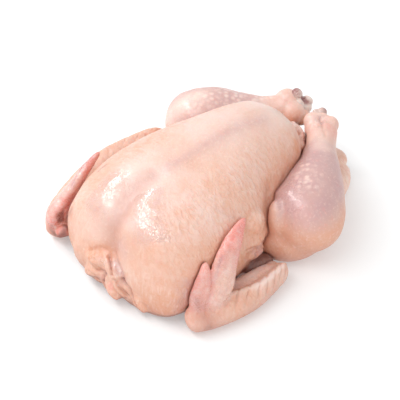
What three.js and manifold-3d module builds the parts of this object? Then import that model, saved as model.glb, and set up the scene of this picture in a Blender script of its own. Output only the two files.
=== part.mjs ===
// A whole raw chicken, plucked and drawn, lying on its back with its breast up.
//
// The bird is one piece of meat in one skin, so it is one solid. Each region is a closed form
// carried along a spine, and the regions are joined into a single body and cut flat where the
// back, the wings and the thighs bear on the surface below.
//
// Frame, in millimetres: +X from the neck to the tail, +Y to the bird's left, +Z up.
// The origin is the middle of the outline at the level of the surface that the bird lies on.

import * as THREE from "three";
import { mergeVertices } from "three/addons/utils/BufferGeometryUtils.js";
import Module from "manifold-3d";

// ---------------------------------------------------------------- driving dimensions

const LEFT = 1;
const RIGHT = -1;

// Breast and back, from the neck to the rear end of the breastbone: half width, height of the
// keel, height of the widest line and height of the underside before it is cut flat.
const TRUNK = [
  { x: -104, half: 54, top: 66, waist: 29, base: -3 },
  { x: -84, half: 69, top: 86, waist: 32, base: -5 },
  { x: -50, half: 78, top: 99, waist: 38, base: -6 },
  { x: -8, half: 75, top: 105, waist: 43, base: -6 },
  { x: 36, half: 59, top: 107, waist: 47, base: -5 },
  { x: 76, half: 46, top: 101, waist: 52, base: 2 },
  { x: 109, half: 33, top: 86, waist: 54, base: 26 },
];
const TRUNK_ROUNDING = [0.14, 0.16]; // share of the length over which each end closes
const CLEFT = { to: -25, depth: 7, width: 14 }; // groove between the breast lobes
const KEEL = { from: -20, to: 40, height: 1.5, width: 7 }; // low ridge over the breastbone

// ---------------------------------------------------------------- shape tools

const wasm = await Module();
wasm.setup();

const vector = ([x, y, z]) => new THREE.Vector3(x, y, z);
const ramp = (value, from, to) => THREE.MathUtils.smoothstep(value, from, to);

/** A smooth curve through equally weighted stations, for a spine or for a list of sizes. */
const through = (stations) => new THREE.CatmullRomCurve3(stations.map(vector), false, "catmullrom", 0.5);

/** How full a form is at a share of its length, from nothing at each end to 1 past its rounding. */
function fullness(share, [start, end]) {
  const near = Math.min(share / start, 1);
  const far = Math.min((1 - share) / end, 1);
  return Math.sqrt(1 - (1 - near) ** 2) * Math.sqrt(1 - (1 - far) ** 2);
}

/** A unit sphere with each vertex sent to place(share of the length, angle round the form). */
function mould(around, along, place) {
  const shape = new THREE.SphereGeometry(1, around, along);
  shape.deleteAttribute("normal");
  shape.deleteAttribute("uv");
  const vertex = shape.getAttribute("position");
  for (let i = 0; i < vertex.count; i += 1) {
    const share = (1 - vertex.getY(i)) / 2;
    const angle = Math.atan2(vertex.getZ(i), vertex.getX(i));
    const at = place(THREE.MathUtils.clamp(share, 0, 1), angle);
    vertex.setXYZ(i, at.x, at.y, at.z);
  }
  return mergeVertices(shape, 1e-4);
}

/**
 * A round-ended form along a spine. Each girth is [half width, half thickness, turn in degrees],
 * and the thickness is measured towards the facing direction.
 */
function limb({ spine, girth, facing, around, along, rounding = [0.2, 0.2], relief = () => 0 }) {
  const path = through(spine);
  const size = through(girth);
  const towards = vector(facing);
  return mould(around, along, (share, angle) => {
    const tangent = path.getTangent(share);
    const normal = towards.clone().addScaledVector(tangent, -towards.dot(tangent)).normalize();
    const [wide, thick, turn] = size.getPoint(share).toArray();
    normal.applyAxisAngle(tangent, THREE.MathUtils.degToRad(turn));
    const side = normal.clone().cross(tangent);
    const swell = fullness(share, rounding);
    const extra = relief(share, angle) * swell;
    return path
      .getPoint(share)
      .addScaledVector(side, (wide * swell + extra) * Math.cos(angle))
      .addScaledVector(normal, (thick * swell + extra) * Math.sin(angle));
  });
}

/** A closed geometry as a solid that can be joined and cut. */
function solid(geometry) {
  const { position } = geometry.attributes;
  return new wasm.Manifold(
    new wasm.Mesh({
      numProp: 3,
      vertProperties: new Float32Array(position.array),
      triVerts: new Uint32Array(geometry.index.array),
    }),
  );
}

// ---------------------------------------------------------------- breast and back

function trunk() {
  const plan = through(TRUNK.map(({ x, half, waist }) => [x, half, waist]));
  const heights = through(TRUNK.map(({ x, top, base }) => [x, top, base]));
  const signedPower = (value, power) => Math.sign(value) * Math.abs(value) ** power;
  const front = TRUNK[0].x;
  return mould(46, 32, (share, angle) => {
    const [x, half, waist] = plan.getPoint(share).toArray();
    const [, top, base] = heights.getPoint(share).toArray();
    const swell = fullness(share, TRUNK_ROUNDING);
    const across = Math.cos(angle);
    const up = Math.sin(angle);
    const y = half * swell * signedPower(across, up > 0 ? 0.92 : 0.75);
    const rise = (up > 0 ? top - waist : waist - base) * swell * signedPower(up, up > 0 ? 0.9 : 0.68);
    const cleft = CLEFT.depth * (1 - ramp(x, front, CLEFT.to)) * Math.exp(-((y / CLEFT.width) ** 2));
    const keel = KEEL.height * ramp(x, KEEL.from, KEEL.to) * Math.exp(-((y / KEEL.width) ** 2));
    const facingForward = 1 - swell; // near the neck the cleft is cut backwards, not down
    return new THREE.Vector3(
      x + cleft * facingForward,
      y,
      waist + rise + (keel - cleft * swell) * Math.max(0, up),
    );
  });
}

// ---------------------------------------------------------------- legs

const LEGS = [
  {
    shin: [
      [27, -76, 26],
      [55, -77, 38],
      [79, -67, 47],
      [103, -52, 51],
      [126, -35, 52],
      [151, -16, 57],
    ],
    thigh: [
      [14, -60, 22],
      [58, -70, 22],
      [100, -54, 20],
      [130, -30, 16],
    ],
    knuckles: [
      { at: [145, -12, 57], radius: 8.5 },
      { at: [150, -25, 57], radius: 7.5 },
      { at: [151, -14, 64], radius: 6 },
    ],
  },
  {
    shin: [
      [54, 70, 33],
      [75, 70, 43],
      [93, 62, 50],
      [110, 49, 53],
      [130, 34, 54],
      [156, 16, 57],
    ],
    thigh: [
      [30, 58, 22],
      [70, 66, 24],
      [102, 50, 22],
      [126, 30, 18],
    ],
    knuckles: [
      { at: [147, 15, 49], radius: 8.5 },
      { at: [153, 20, 63], radius: 7.5 },
      { at: [157, 12, 57], radius: 8 },
    ],
  },
];

function leg({ shin, thigh, knuckles }) {
  const drumstick = limb({
    spine: shin,
    girth: [
      [28, 28, 0],
      [36, 35, 0],
      [29, 29, 0],
      [19, 20, 0],
      [11.5, 12, 0],
      [11, 12, 0],
    ],
    facing: [0, 0, 1],
    around: 26,
    along: 21,
    rounding: [0.24, 0.08],
  });
  const upperLeg = limb({
    spine: thigh,
    girth: [
      [28, 26, 0],
      [30, 26, 0],
      [26, 22, 0],
      [16, 15, 0],
    ],
    facing: [0, 0, 1],
    around: 18,
    along: 11,
    rounding: [0.35, 0.35],
  });
  return [drumstick, upperLeg, ...knuckles.map(({ at, radius }) => knob(at, radius))];
}

/** A round knob, such as the end of a bone. */
function knob(at, radius) {
  const centre = vector(at);
  return mould(11, 7, (share, angle) => {
    const height = 1 - 2 * share;
    const ring = Math.sqrt(Math.max(0, 1 - height ** 2));
    const outward = new THREE.Vector3(Math.cos(angle) * ring, height, Math.sin(angle) * ring);
    return centre.clone().addScaledVector(outward, radius);
  });
}

// ---------------------------------------------------------------- wings

const PLEATS = { count: 9, depth: 0.9 }; // quill rows along the back edge of the forearm

const WINGS = [
  {
    side: RIGHT,
    shoulder: [-56, -54, 28],
    elbow: [18, -92, 16],
    bow: [-28, -95, 14],
    wrist: [-64, -86, 14],
    heel: [-85, -74, 15],
    hand: [
      [-72, -80, 16],
      [-55, -85, 37],
      [-47, -82, 55],
      [-29, -77, 70],
      [-8, -70, 76],
    ],
    thumb: [
      [-74, -78, 18],
      [-72, -77, 40],
      [-59, -74, 60],
    ],
  },
  {
    side: LEFT,
    shoulder: [-56, 54, 28],
    elbow: [60, 98, 28],
    bow: [-6, 108, 25],
    wrist: [-70, 95, 17],
    heel: [-91, 79, 12],
    hand: [
      [-86, 83, 16],
      [-78, 87, 32],
      [-63, 88, 46],
      [-48, 86, 59],
      [-31, 84, 69],
    ],
    thumb: [
      [-86, 88, 18],
      [-77, 92, 36],
      [-66, 91, 47],
    ],
  },
];

function wing({ side, shoulder, elbow, bow, wrist, heel, hand, thumb }) {
  const between = (a, b, share) => a.map((value, axis) => value + (b[axis] - value) * share);
  const outward = [-0.3, side * 0.85, 0.42];
  const upperArm = limb({
    spine: [shoulder, elbow],
    girth: [
      [24, 22, 0],
      [12, 12, 0],
    ],
    facing: [0, 0, 1],
    around: 12,
    along: 8,
    rounding: [0.3, 0.2],
  });
  const forearm = limb({
    spine: [elbow, bow, wrist, heel],
    girth: [
      [9, 12, 0],
      [12, 14, 0],
      [12, 14, 0],
      [12, 14, 0],
    ],
    facing: [0, side * 0.25, 1],
    around: 16,
    along: 30,
    rounding: [0.1, 0.16],
    relief: (share, angle) => {
      const wave = Math.cos(2 * Math.PI * PLEATS.count * share);
      return PLEATS.depth * wave * (1 - share) * Math.max(0, Math.sin(angle));
    },
  });
  const blade = limb({
    spine: hand,
    girth: [
      [11, 11, 0],
      [11, 8, 0],
      [11, 6, 0],
      [9, 5, 0],
      [3, 3, 0],
    ],
    facing: outward,
    around: 14,
    along: 16,
    rounding: [0.2, 0.12],
  });
  const thumbBlade = limb({
    spine: thumb,
    girth: [
      [10, 10, 0],
      [8, 7, 0],
      [3, 3, 0],
    ],
    facing: outward,
    around: 12,
    along: 10,
    rounding: [0.3, 0.2],
  });
  const web = limb({
    spine: [between(elbow, shoulder, 0.1), between(bow, shoulder, 0.35), between(wrist, shoulder, 0.2)],
    girth: [
      [10, 5, 0],
      [22, 5, 0],
      [14, 5, 0],
    ],
    facing: [0, 0, 1],
    around: 12,
    along: 8,
  });
  return [upperArm, forearm, blade, thumbBlade, web];
}

// ---------------------------------------------------------------- neck and tail

// Folds of loose neck skin, gathered where the cleft ends and fanning down to the table.
const NECK_FOLDS = [
  { top: [-80, 16, 64], middle: [-95, 29, 33], foot: [-90, 37, 2], girth: 17 },
  { top: [-81, 11, 66], middle: [-97, 15, 34], foot: [-94, 19, 2], girth: 12 },
  { top: [-81, 5, 66], middle: [-98, 0, 32], foot: [-95, -3, 2], girth: 12 },
  { top: [-80, 0, 64], middle: [-95, -14, 30], foot: [-90, -21, 2], girth: 13 },
];

function neckFold({ top, middle, foot, girth }) {
  return limb({
    spine: [top, middle, foot],
    girth: [
      [girth * 0.45, 4, 0],
      [girth, 8, 0],
      [girth * 1.15, 9, 0],
    ],
    facing: [-1, 0, 0],
    around: 14,
    along: 10,
    rounding: [0.3, 0.2],
  });
}

function rump() {
  return limb({
    spine: [
      [56, 0, 24],
      [94, 0, 30],
      [124, -4, 26],
      [144, -10, 20],
    ],
    girth: [
      [46, 28, 0],
      [46, 31, 0],
      [36, 26, 0],
      [22, 16, 0],
    ],
    facing: [0, 0, 1],
    around: 18,
    along: 11,
    rounding: [0.3, 0.25],
  });
}

/** The tail, leaning to the bird's right. */
function tail() {
  return limb({
    spine: [
      [116, -8, 16],
      [145, -21, 15],
      [168, -32, 12],
    ],
    girth: [
      [28, 16, 0],
      [20, 12, 0],
      [11, 8, 0],
    ],
    facing: [0, 0, 1],
    around: 14,
    along: 10,
    rounding: [0.3, 0.2],
  });
}

/** Loose skin between the tail and the right thigh. */
function flank() {
  return limb({
    spine: [
      [158, -34, 11],
      [139, -48, 11],
      [112, -58, 13],
    ],
    girth: [
      [8, 8, 0],
      [11, 10, 0],
      [12, 12, 0],
    ],
    facing: [0, 0, 1],
    around: 12,
    along: 8,
    rounding: [0.25, 0.25],
  });
}

/** The torn edge of skin behind the end of the breast. */
function ventFlap() {
  return limb({
    spine: [
      [98, -20, 62],
      [120, -18, 50],
      [135, -9, 36],
    ],
    girth: [
      [12, 6, 0],
      [13, 5, 0],
      [8, 4, 0],
    ],
    facing: [0.4, 0, 1],
    around: 12,
    along: 8,
    rounding: [0.2, 0.2],
  });
}

/** The mouth of the empty body, cut between the thighs behind the end of the breast. */
function vent() {
  return limb({
    spine: [
      [96, -4, 34],
      [124, -5, 38],
      [150, -6, 44],
    ],
    girth: [
      [12, 8, 0],
      [19, 14, 0],
      [20, 14, 0],
    ],
    facing: [0, 0, 1],
    around: 16,
    along: 8,
    rounding: [0.3, 0.3],
  });
}

// ---------------------------------------------------------------- the bird

const pieces = [
  trunk(),
  rump(),
  tail(),
  flank(),
  ...NECK_FOLDS.map(neckFold),
  ...LEGS.flatMap(leg),
  ...WINGS.flatMap(wing),
];
const joined = pieces.map(solid).reduce((bird, piece) => bird.add(piece));
const opened = joined.subtract(solid(vent())).add(solid(ventFlap()));
const below = new THREE.BoxGeometry(600, 600, 100);
below.deleteAttribute("normal");
below.deleteAttribute("uv");
below.translate(0, 0, -50);
const body = opened.subtract(solid(mergeVertices(below)));
const { numProp, vertProperties, triVerts } = body.getMesh();
const geometry = new THREE.BufferGeometry();
geometry.setAttribute("position", new THREE.BufferAttribute(vertProperties, numProp));
geometry.setIndex(new THREE.BufferAttribute(triVerts, 1));
geometry.computeBoundingBox();
const middle = geometry.boundingBox.getCenter(new THREE.Vector3());
geometry.translate(-middle.x, -middle.y, 0);
geometry.computeVertexNormals();

const chicken = new THREE.Mesh(
  geometry,
  new THREE.MeshStandardMaterial({ color: 0xecc4ab, roughness: 0.45, metalness: 0 }),
);
chicken.name = "chicken";

const model = new THREE.Group();
model.add(chicken);

export default model;
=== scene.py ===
"""A whole raw chicken, plucked and drawn, lying on its back on a white table.

Sizes are in millimetres in the workshop frame: +X from the neck to the tail, +Y to the bird's left,
+Z up, with the table at 0. DATUM is where the finished model's origin lies in that frame.
"""

import logging
import math
from dataclasses import dataclass
from enum import Enum
from typing import Any

import bmesh
import bpy
import numpy as np
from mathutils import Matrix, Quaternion, Vector
from mathutils.bvhtree import BVHTree

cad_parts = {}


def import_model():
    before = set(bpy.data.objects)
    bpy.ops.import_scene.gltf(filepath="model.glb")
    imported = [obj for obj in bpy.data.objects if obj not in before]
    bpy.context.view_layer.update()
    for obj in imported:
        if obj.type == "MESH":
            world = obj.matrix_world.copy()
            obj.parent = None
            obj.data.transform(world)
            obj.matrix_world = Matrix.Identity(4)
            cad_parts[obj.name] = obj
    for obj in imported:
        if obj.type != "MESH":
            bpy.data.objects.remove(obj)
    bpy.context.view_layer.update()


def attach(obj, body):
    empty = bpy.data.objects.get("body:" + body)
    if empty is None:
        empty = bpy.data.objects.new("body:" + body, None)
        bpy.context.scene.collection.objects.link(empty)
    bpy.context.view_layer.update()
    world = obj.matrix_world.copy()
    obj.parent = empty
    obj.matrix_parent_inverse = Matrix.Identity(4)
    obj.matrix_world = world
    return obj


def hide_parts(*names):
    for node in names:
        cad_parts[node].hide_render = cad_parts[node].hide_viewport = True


LOG = logging.getLogger("chicken")

Point = tuple[float, float, float]
Colour = tuple[float, float, float, float]
Stations = tuple[tuple[float, ...], ...]

MM = 0.001
DATUM = np.array([31.2088, 4.0668, 0.0])
NODE = "chicken"
BODY = "root"
WHITE: Colour = (1.0, 1.0, 1.0, 1.0)

# The side of a ripple's table of random numbers, and the shift that keeps its cells positive.
RIPPLE_CELLS = 32
RIPPLE_START = 1000.0
# The share of a curve on either side of a place from which its heading is worked out.
HEADING_STEP = 1e-4
# The straight stretches that stand for a spine, and the marks that stand for a stroke's path.
SPINE_STEPS = 120
STROKE_STEPS = 24
# A stroke fades out within this many widths, and this many millimetres more are searched.
STROKE_REACH = 3.0
STROKE_SLACK = 3.0


class Side(Enum):
    """The two sides of the bird."""

    RIGHT = -1
    LEFT = 1


# ---------------------------------------------------------------- shape tools


def ramp(value: np.ndarray, start: float, end: float) -> np.ndarray:
    """Rises smoothly from 0 at start to 1 at end; start may be the larger."""
    step = np.clip((value - start) / (end - start), 0.0, 1.0)
    return step * step * (3.0 - 2.0 * step)


def bell(value: np.ndarray, width: float | np.ndarray) -> np.ndarray:
    """A soft bump of height 1 at 0 that fades out within about two widths."""
    return np.exp(-((value / width) ** 2))


def unit(vectors: np.ndarray) -> np.ndarray:
    """Scales each row to a length of 1."""
    return vectors / np.maximum(np.linalg.norm(vectors, axis=-1, keepdims=True), 1e-9)


def signed_power(value: np.ndarray, power: float) -> np.ndarray:
    """Raises the size of each number to a power and keeps its sign."""
    return np.sign(value) * np.abs(value) ** power


def fullness(share: np.ndarray, rounding: tuple[float, float]) -> np.ndarray:
    """How full a form is at a share of its length.

    Args:
        share: Places along the form, from 0 to 1.
        rounding: Share of the length over which each end closes.

    Returns:
        0 at both ends, and 1 past the roundings.
    """
    near = np.minimum(share / rounding[0], 1.0)
    far = np.minimum((1.0 - share) / rounding[1], 1.0)
    return np.sqrt(1.0 - (1.0 - near) ** 2) * np.sqrt(1.0 - (1.0 - far) ** 2)


def ripple(points: np.ndarray, size: float, seed: int) -> np.ndarray:
    """Smooth uneven relief over space.

    Args:
        points: Where it is wanted, one row each.
        size: Distance between one rise and the next, in millimetres.
        seed: Which of many patterns.

    Returns:
        A number from -1 to 1 for each point.
    """
    table = np.random.default_rng(seed).uniform(-1.0, 1.0, (RIPPLE_CELLS,) * 3)
    cell = points / size + RIPPLE_START
    low = np.floor(cell).astype(int)
    part = cell - low
    part = part * part * (3.0 - 2.0 * part)
    total = np.zeros(len(points))
    for corner in range(8):
        step = np.array([corner & 1, corner >> 1 & 1, corner >> 2 & 1])
        weight = np.prod(np.where(step == 1, part, 1.0 - part), axis=1)
        index = (low + step) % RIPPLE_CELLS
        total += weight * table[index[:, 0], index[:, 1], index[:, 2]]
    return total


def along_line(marks: np.ndarray, points: np.ndarray) -> tuple[np.ndarray, np.ndarray]:
    """How far points lie from a line of straight stretches.

    Args:
        marks: The line's corners, one row each.
        points: One row each.

    Returns:
        The distance of each point, and the share of the line nearest to it.
    """
    best = np.full(len(points), np.inf)
    where = np.zeros(len(points))
    for index in range(len(marks) - 1):
        start, along = marks[index], marks[index + 1] - marks[index]
        part = np.clip((points - start) @ along / max(along @ along, 1e-9), 0.0, 1.0)
        gap = np.linalg.norm(points - start - part[:, None] * along, axis=1)
        nearer = gap < best
        best[nearer] = gap[nearer]
        where[nearer] = (index + part[nearer]) / (len(marks) - 1)
    return best, where


@dataclass(frozen=True)
class Curve:
    """A smooth curve through equally weighted stations, for a path or for a list of sizes."""

    stations: Stations

    def at(self, share: np.ndarray) -> np.ndarray:
        """The curve's value at each share of its length.

        Args:
            share: Numbers from 0 at the first station to 1 at the last.

        Returns:
            One row for each share.
        """
        known = np.array(self.stations, dtype=float)
        known = np.vstack([2 * known[0] - known[1], known, 2 * known[-1] - known[-2]])
        spans = len(known) - 3
        place = np.clip(share, 0.0, 1.0) * spans
        first = np.minimum(np.floor(place).astype(int), spans - 1)
        step = (place - first)[:, None]
        before, start, end, after = (known[first + offset] for offset in range(4))
        leaving = 0.5 * (end - before)
        arriving = 0.5 * (after - start)
        square = step * step
        cube = square * step
        return (
            (2 * cube - 3 * square + 1) * start
            + (cube - 2 * square + step) * leaving
            + (3 * square - 2 * cube) * end
            + (cube - square) * arriving
        )

    def heading(self, share: np.ndarray) -> np.ndarray:
        """The unit direction of travel at each share."""
        ahead = self.at(np.minimum(share + HEADING_STEP, 1.0))
        return unit(ahead - self.at(np.maximum(share - HEADING_STEP, 0.0)))


@dataclass(frozen=True)
class Form:
    """A closed round form that a unit sphere is pressed into."""

    around: int = 48
    along: int = 40

    def place(self, share: np.ndarray, angle: np.ndarray) -> np.ndarray:
        """Sends each point of the sphere to its place on the form.

        Args:
            share: From 0 at one pole of the sphere to 1 at the other.
            angle: Angle round the sphere's axis, in radians.

        Returns:
            One row for each point.
        """
        raise NotImplementedError

    def add_to(self, work: bmesh.types.BMesh) -> None:
        """Adds the form's closed shell to a bmesh, in metres from the model's origin.

        Args:
            work: The bmesh that receives it.
        """
        made = bmesh.ops.create_uvsphere(
            work, u_segments=self.around, v_segments=self.along, radius=1.0
        )["verts"]
        ball = np.array([vertex.co[:] for vertex in made])
        share = np.clip((1.0 - ball[:, 2]) / 2.0, 0.0, 1.0)
        points = (self.place(share, np.arctan2(ball[:, 1], ball[:, 0])) - DATUM) * MM
        for vertex, point in zip(made, points):
            vertex.co = point


@dataclass(frozen=True)
class Limb(Form):
    """A round-ended form along a spine.

    Each girth is half a width and half a thickness, the thickness towards the facing direction.
    """

    spine: Stations = ()
    girth: Stations = ()
    facing: Point = (0.0, 0.0, 1.0)
    rounding: tuple[float, float] = (0.2, 0.2)

    def relief(self, share: np.ndarray, angle: np.ndarray) -> np.ndarray:
        """Extra girth at each point, none on a plain limb."""
        return np.zeros(len(share))

    def axes(self, share: np.ndarray) -> tuple[np.ndarray, ...]:
        """The form's own directions along the spine.

        Args:
            share: Places along the spine.

        Returns:
            The spine's points, then its forward, sideways and facing directions.
        """
        path = Curve(self.spine)
        forward = path.heading(share)
        towards = np.array(self.facing)
        normal = unit(towards - forward * (forward @ towards)[:, None])
        return path.at(share), forward, np.cross(normal, forward), normal

    def place(self, share: np.ndarray, angle: np.ndarray) -> np.ndarray:
        """Sends each point of the sphere to its place on the form.

        Args:
            share: From 0 at one pole of the sphere to 1 at the other.
            angle: Angle round the sphere's axis, in radians.

        Returns:
            One row for each point.
        """
        middle, _, side, normal = self.axes(share)
        swell = fullness(share, self.rounding)
        wide, thick = Curve(self.girth).at(share).T[:2] * swell
        extra = self.relief(share, angle) * swell
        return (
            middle
            + side * ((wide + extra) * np.cos(angle))[:, None]
            + normal * ((thick + extra) * np.sin(angle))[:, None]
        )

    def locate(self, points: np.ndarray) -> tuple[np.ndarray, np.ndarray]:
        """Where on the form points lie.

        Args:
            points: One row each.

        Returns:
            The share of the spine beside each, and its angle round the spine in radians.
        """
        line = Curve(self.spine).at(np.linspace(0.0, 1.0, SPINE_STEPS + 1))
        _, share = along_line(line, points)
        middle, _, side, normal = self.axes(share)
        away = points - middle
        return share, np.arctan2((away * normal).sum(axis=1), (away * side).sum(axis=1))

    def outside(self, points: np.ndarray) -> tuple[np.ndarray, np.ndarray]:
        """About how far points lie outside the form.

        Args:
            points: One row each.

        Returns:
            Millimetres outside, negative inside, and the share of the length nearest to each.
        """
        shares = np.linspace(0.02, 0.98, 36)
        middle, forward, side, normal = self.axes(shares)
        swell = fullness(shares, self.rounding)
        girth = np.maximum(Curve(self.girth).at(shares)[:, :2] * swell[:, None], 0.5)
        gap = np.linalg.norm(middle[1:] - middle[:-1], axis=1).mean() * 0.6
        best = np.full(len(points), np.inf)
        where = np.zeros(len(points))
        for index, share in enumerate(shares):
            away = points - middle[index]
            across = away @ side[index] / girth[index, 0]
            up = away @ normal[index] / girth[index, 1]
            radial = (np.hypot(across, up) - 1.0) * girth[index].min()
            beyond = np.maximum(np.abs(away @ forward[index]) - gap, 0.0)
            out = np.where(radial > 0, np.hypot(radial, beyond), radial + beyond)
            nearer = out < best
            best[nearer] = out[nearer]
            where[nearer] = share
        return best, where


@dataclass(frozen=True)
class Knob(Form):
    """A round knob, such as the end of a bone."""

    at: Point = (0.0, 0.0, 0.0)
    radius: float = 8.0
    around: int = 24
    along: int = 16

    def place(self, share: np.ndarray, angle: np.ndarray) -> np.ndarray:
        """Sends each point of the sphere to its place on the knob.

        Args:
            share: From 0 at one pole of the sphere to 1 at the other.
            angle: Angle round the sphere's axis, in radians.

        Returns:
            One row for each point.
        """
        height = 1.0 - 2.0 * share
        ring = np.sqrt(np.maximum(0.0, 1.0 - height**2))
        ball = np.stack([np.cos(angle) * ring, height, np.sin(angle) * ring], axis=1)
        return np.array(self.at) + self.radius * ball

    def outside(self, points: np.ndarray) -> tuple[np.ndarray, np.ndarray]:
        """Millimetres outside the knob, and 0 for the share."""
        gap = np.linalg.norm(points - np.array(self.at), axis=1) - self.radius
        return gap, np.zeros(len(points))


Lump = Limb | Knob


# ---------------------------------------------------------------- the forms of the bird


@dataclass(frozen=True)
class Trunk(Form):
    """Breast and back, from the neck to the rear end of the breastbone.

    Each station is the place along the bird, half the width, the height of the keel, the height of
    the widest line and the height of the underside before it is cut flat.
    """

    stations: Stations = (
        (-104, 54, 66, 29, -3),
        (-84, 69, 86, 32, -5),
        (-50, 78, 99, 38, -6),
        (-8, 75, 105, 43, -6),
        (36, 59, 107, 47, -5),
        (78, 46, 101, 52, 2),
        (117, 32, 87, 56, 28),
    )
    rounding: tuple[float, float] = (0.14, 0.13)
    upper_powers: tuple[float, float] = (0.92, 0.9)
    lower_powers: tuple[float, float] = (0.75, 0.68)
    cleft_to: float = -25
    cleft_depth: float = 7
    cleft_width: float = 14
    cleft_bend: float = 5
    bend_at: float = -66
    bend_length: float = 20
    keel_from: float = -20
    keel_to: float = 40
    keel_height: float = 1.5
    keel_width: float = 7
    around: int = 128
    along: int = 96

    def place(self, share: np.ndarray, angle: np.ndarray) -> np.ndarray:
        """Sends each point of the sphere to its place on the trunk.

        Args:
            share: From 0 at the neck to 1 at the rear end.
            angle: Angle round the length of the bird, in radians.

        Returns:
            One row for each point.
        """
        x, half, top, waist, base = Curve(self.stations).at(share).T
        swell = fullness(share, self.rounding)
        across, up = np.cos(angle), np.sin(angle)
        above = signed_power(across, self.upper_powers[0]), signed_power(up, self.upper_powers[1])
        below = signed_power(across, self.lower_powers[0]), signed_power(up, self.lower_powers[1])
        y = half * swell * np.where(up > 0, above[0], below[0])
        rise = np.where(up > 0, (top - waist) * swell * above[1], (waist - base) * swell * below[1])
        cleft = self.cleft_depth * (1 - ramp(x, self.stations[0][0], self.cleft_to))
        bend = self.cleft_bend * bell(x - self.bend_at, self.bend_length)
        cleft = cleft * bell(y - bend, self.cleft_width)
        keel = self.keel_height * ramp(x, self.keel_from, self.keel_to)
        keel = keel * bell(y, self.keel_width)
        lift = (keel - cleft * swell) * np.maximum(0.0, up)
        return np.stack([x + cleft * (1 - swell), y, waist + rise + lift], axis=1)


@dataclass(frozen=True)
class Forearm(Limb):
    """The forearm of a wing.

    Its back edge stands up as a crest, and the quill rows cross the crest as pleats.
    """

    crest_at: tuple[float, float] = (1.45, 2.2)
    crest: float = 2.4
    crest_width: float = 0.3
    hollow: float = 0.9
    hollow_past: float = 0.8
    hollow_width: float = 0.45
    rows: float = 13.0
    crowding: float = 0.76
    slant: float = 0.07
    waver: float = 0.16
    sharpness: float = 2.6
    pleat_reach: tuple[float, float] = (0.85, 0.25)

    def beyond_crest(self, share: np.ndarray, angle: np.ndarray) -> np.ndarray:
        """How far past the crest each place lies, in radians, negative on the outer face."""
        start, end = self.crest_at
        return angle - start - (end - start) * ramp(share, 0.12, 0.75)

    def relief(self, share: np.ndarray, angle: np.ndarray) -> np.ndarray:
        """Extra girth on the crest, and less in the hollow behind it.

        Args:
            share: From 0 at the elbow to 1 at the wrist.
            angle: Angle round the forearm, in radians.

        Returns:
            The extra girth, in millimetres.
        """
        past = self.beyond_crest(share, angle)
        crest = bell(past, self.crest_width) * ramp(share, 0.97, 0.75)
        return self.crest * crest - self.hollow * bell(past - self.hollow_past, self.hollow_width)

    def pleat(self, points: np.ndarray) -> np.ndarray:
        """How deep each point lies between two quill rows.

        Args:
            points: One row each.

        Returns:
            0 on a row and away from the pleats, 1 in the middle of a crease.
        """
        share, angle = self.locate(points)
        past = self.beyond_crest(share, angle)
        slanted = np.clip(share + self.slant * past, 0.0, 1.0)
        phase = self.rows * slanted**self.crowding + self.waver * ripple(points, 10.0, 41)
        crease = (1 - np.abs(np.sin(math.pi * phase))) ** self.sharpness
        reach = np.where(past < 0, *self.pleat_reach)
        return crease * bell(past, reach) * ramp(share, 0.02, 0.08) * ramp(share, 0.98, 0.8)


# ---------------------------------------------------------------- modelling the skin


@dataclass(frozen=True)
class Stroke:
    """One pull of a tool along a path: a ridge, or a groove where the amount is negative.

    The amount is a height in millimetres, or on a colour how strongly it is laid on. Each end fades
    out over the same share of the path.
    """

    path: Stations
    amount: float
    width: float
    ends: float = 0.15

    def over(self, points: np.ndarray) -> np.ndarray:
        """How much of the stroke reaches each point.

        Args:
            points: The skin's points, which the path is first laid down on.

        Returns:
            The amount at each point.
        """
        total = np.zeros(len(points))
        path = np.array(self.path, dtype=float)
        reach = STROKE_REACH * self.width
        above = points > path.min(axis=0) - reach - STROKE_SLACK
        below = points < path.max(axis=0) + reach + STROKE_SLACK
        near = np.all(above & below, axis=1)
        if not near.any():
            return total
        skin = points[near]
        line = path[[0, 0]]
        if len(path) > 1:
            line = Curve(self.path).at(np.linspace(0.0, 1.0, STROKE_STEPS))
        line = np.array([skin[np.argmin(((skin - mark) ** 2).sum(axis=1))] for mark in line])
        gap, share = along_line(line, skin)
        fade = 1.0
        if len(path) > 1:
            fade = ramp(share, -1e-3, self.ends) * ramp(share, 1.0 + 1e-3, 1.0 - self.ends)
        total[near] = self.amount * fade * bell(gap, self.width)
        return total


def laid(strokes: tuple[Stroke, ...], points: np.ndarray) -> np.ndarray:
    """The sum of several strokes at each point."""
    return sum((stroke.over(points) for stroke in strokes), np.zeros(len(points)))


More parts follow.
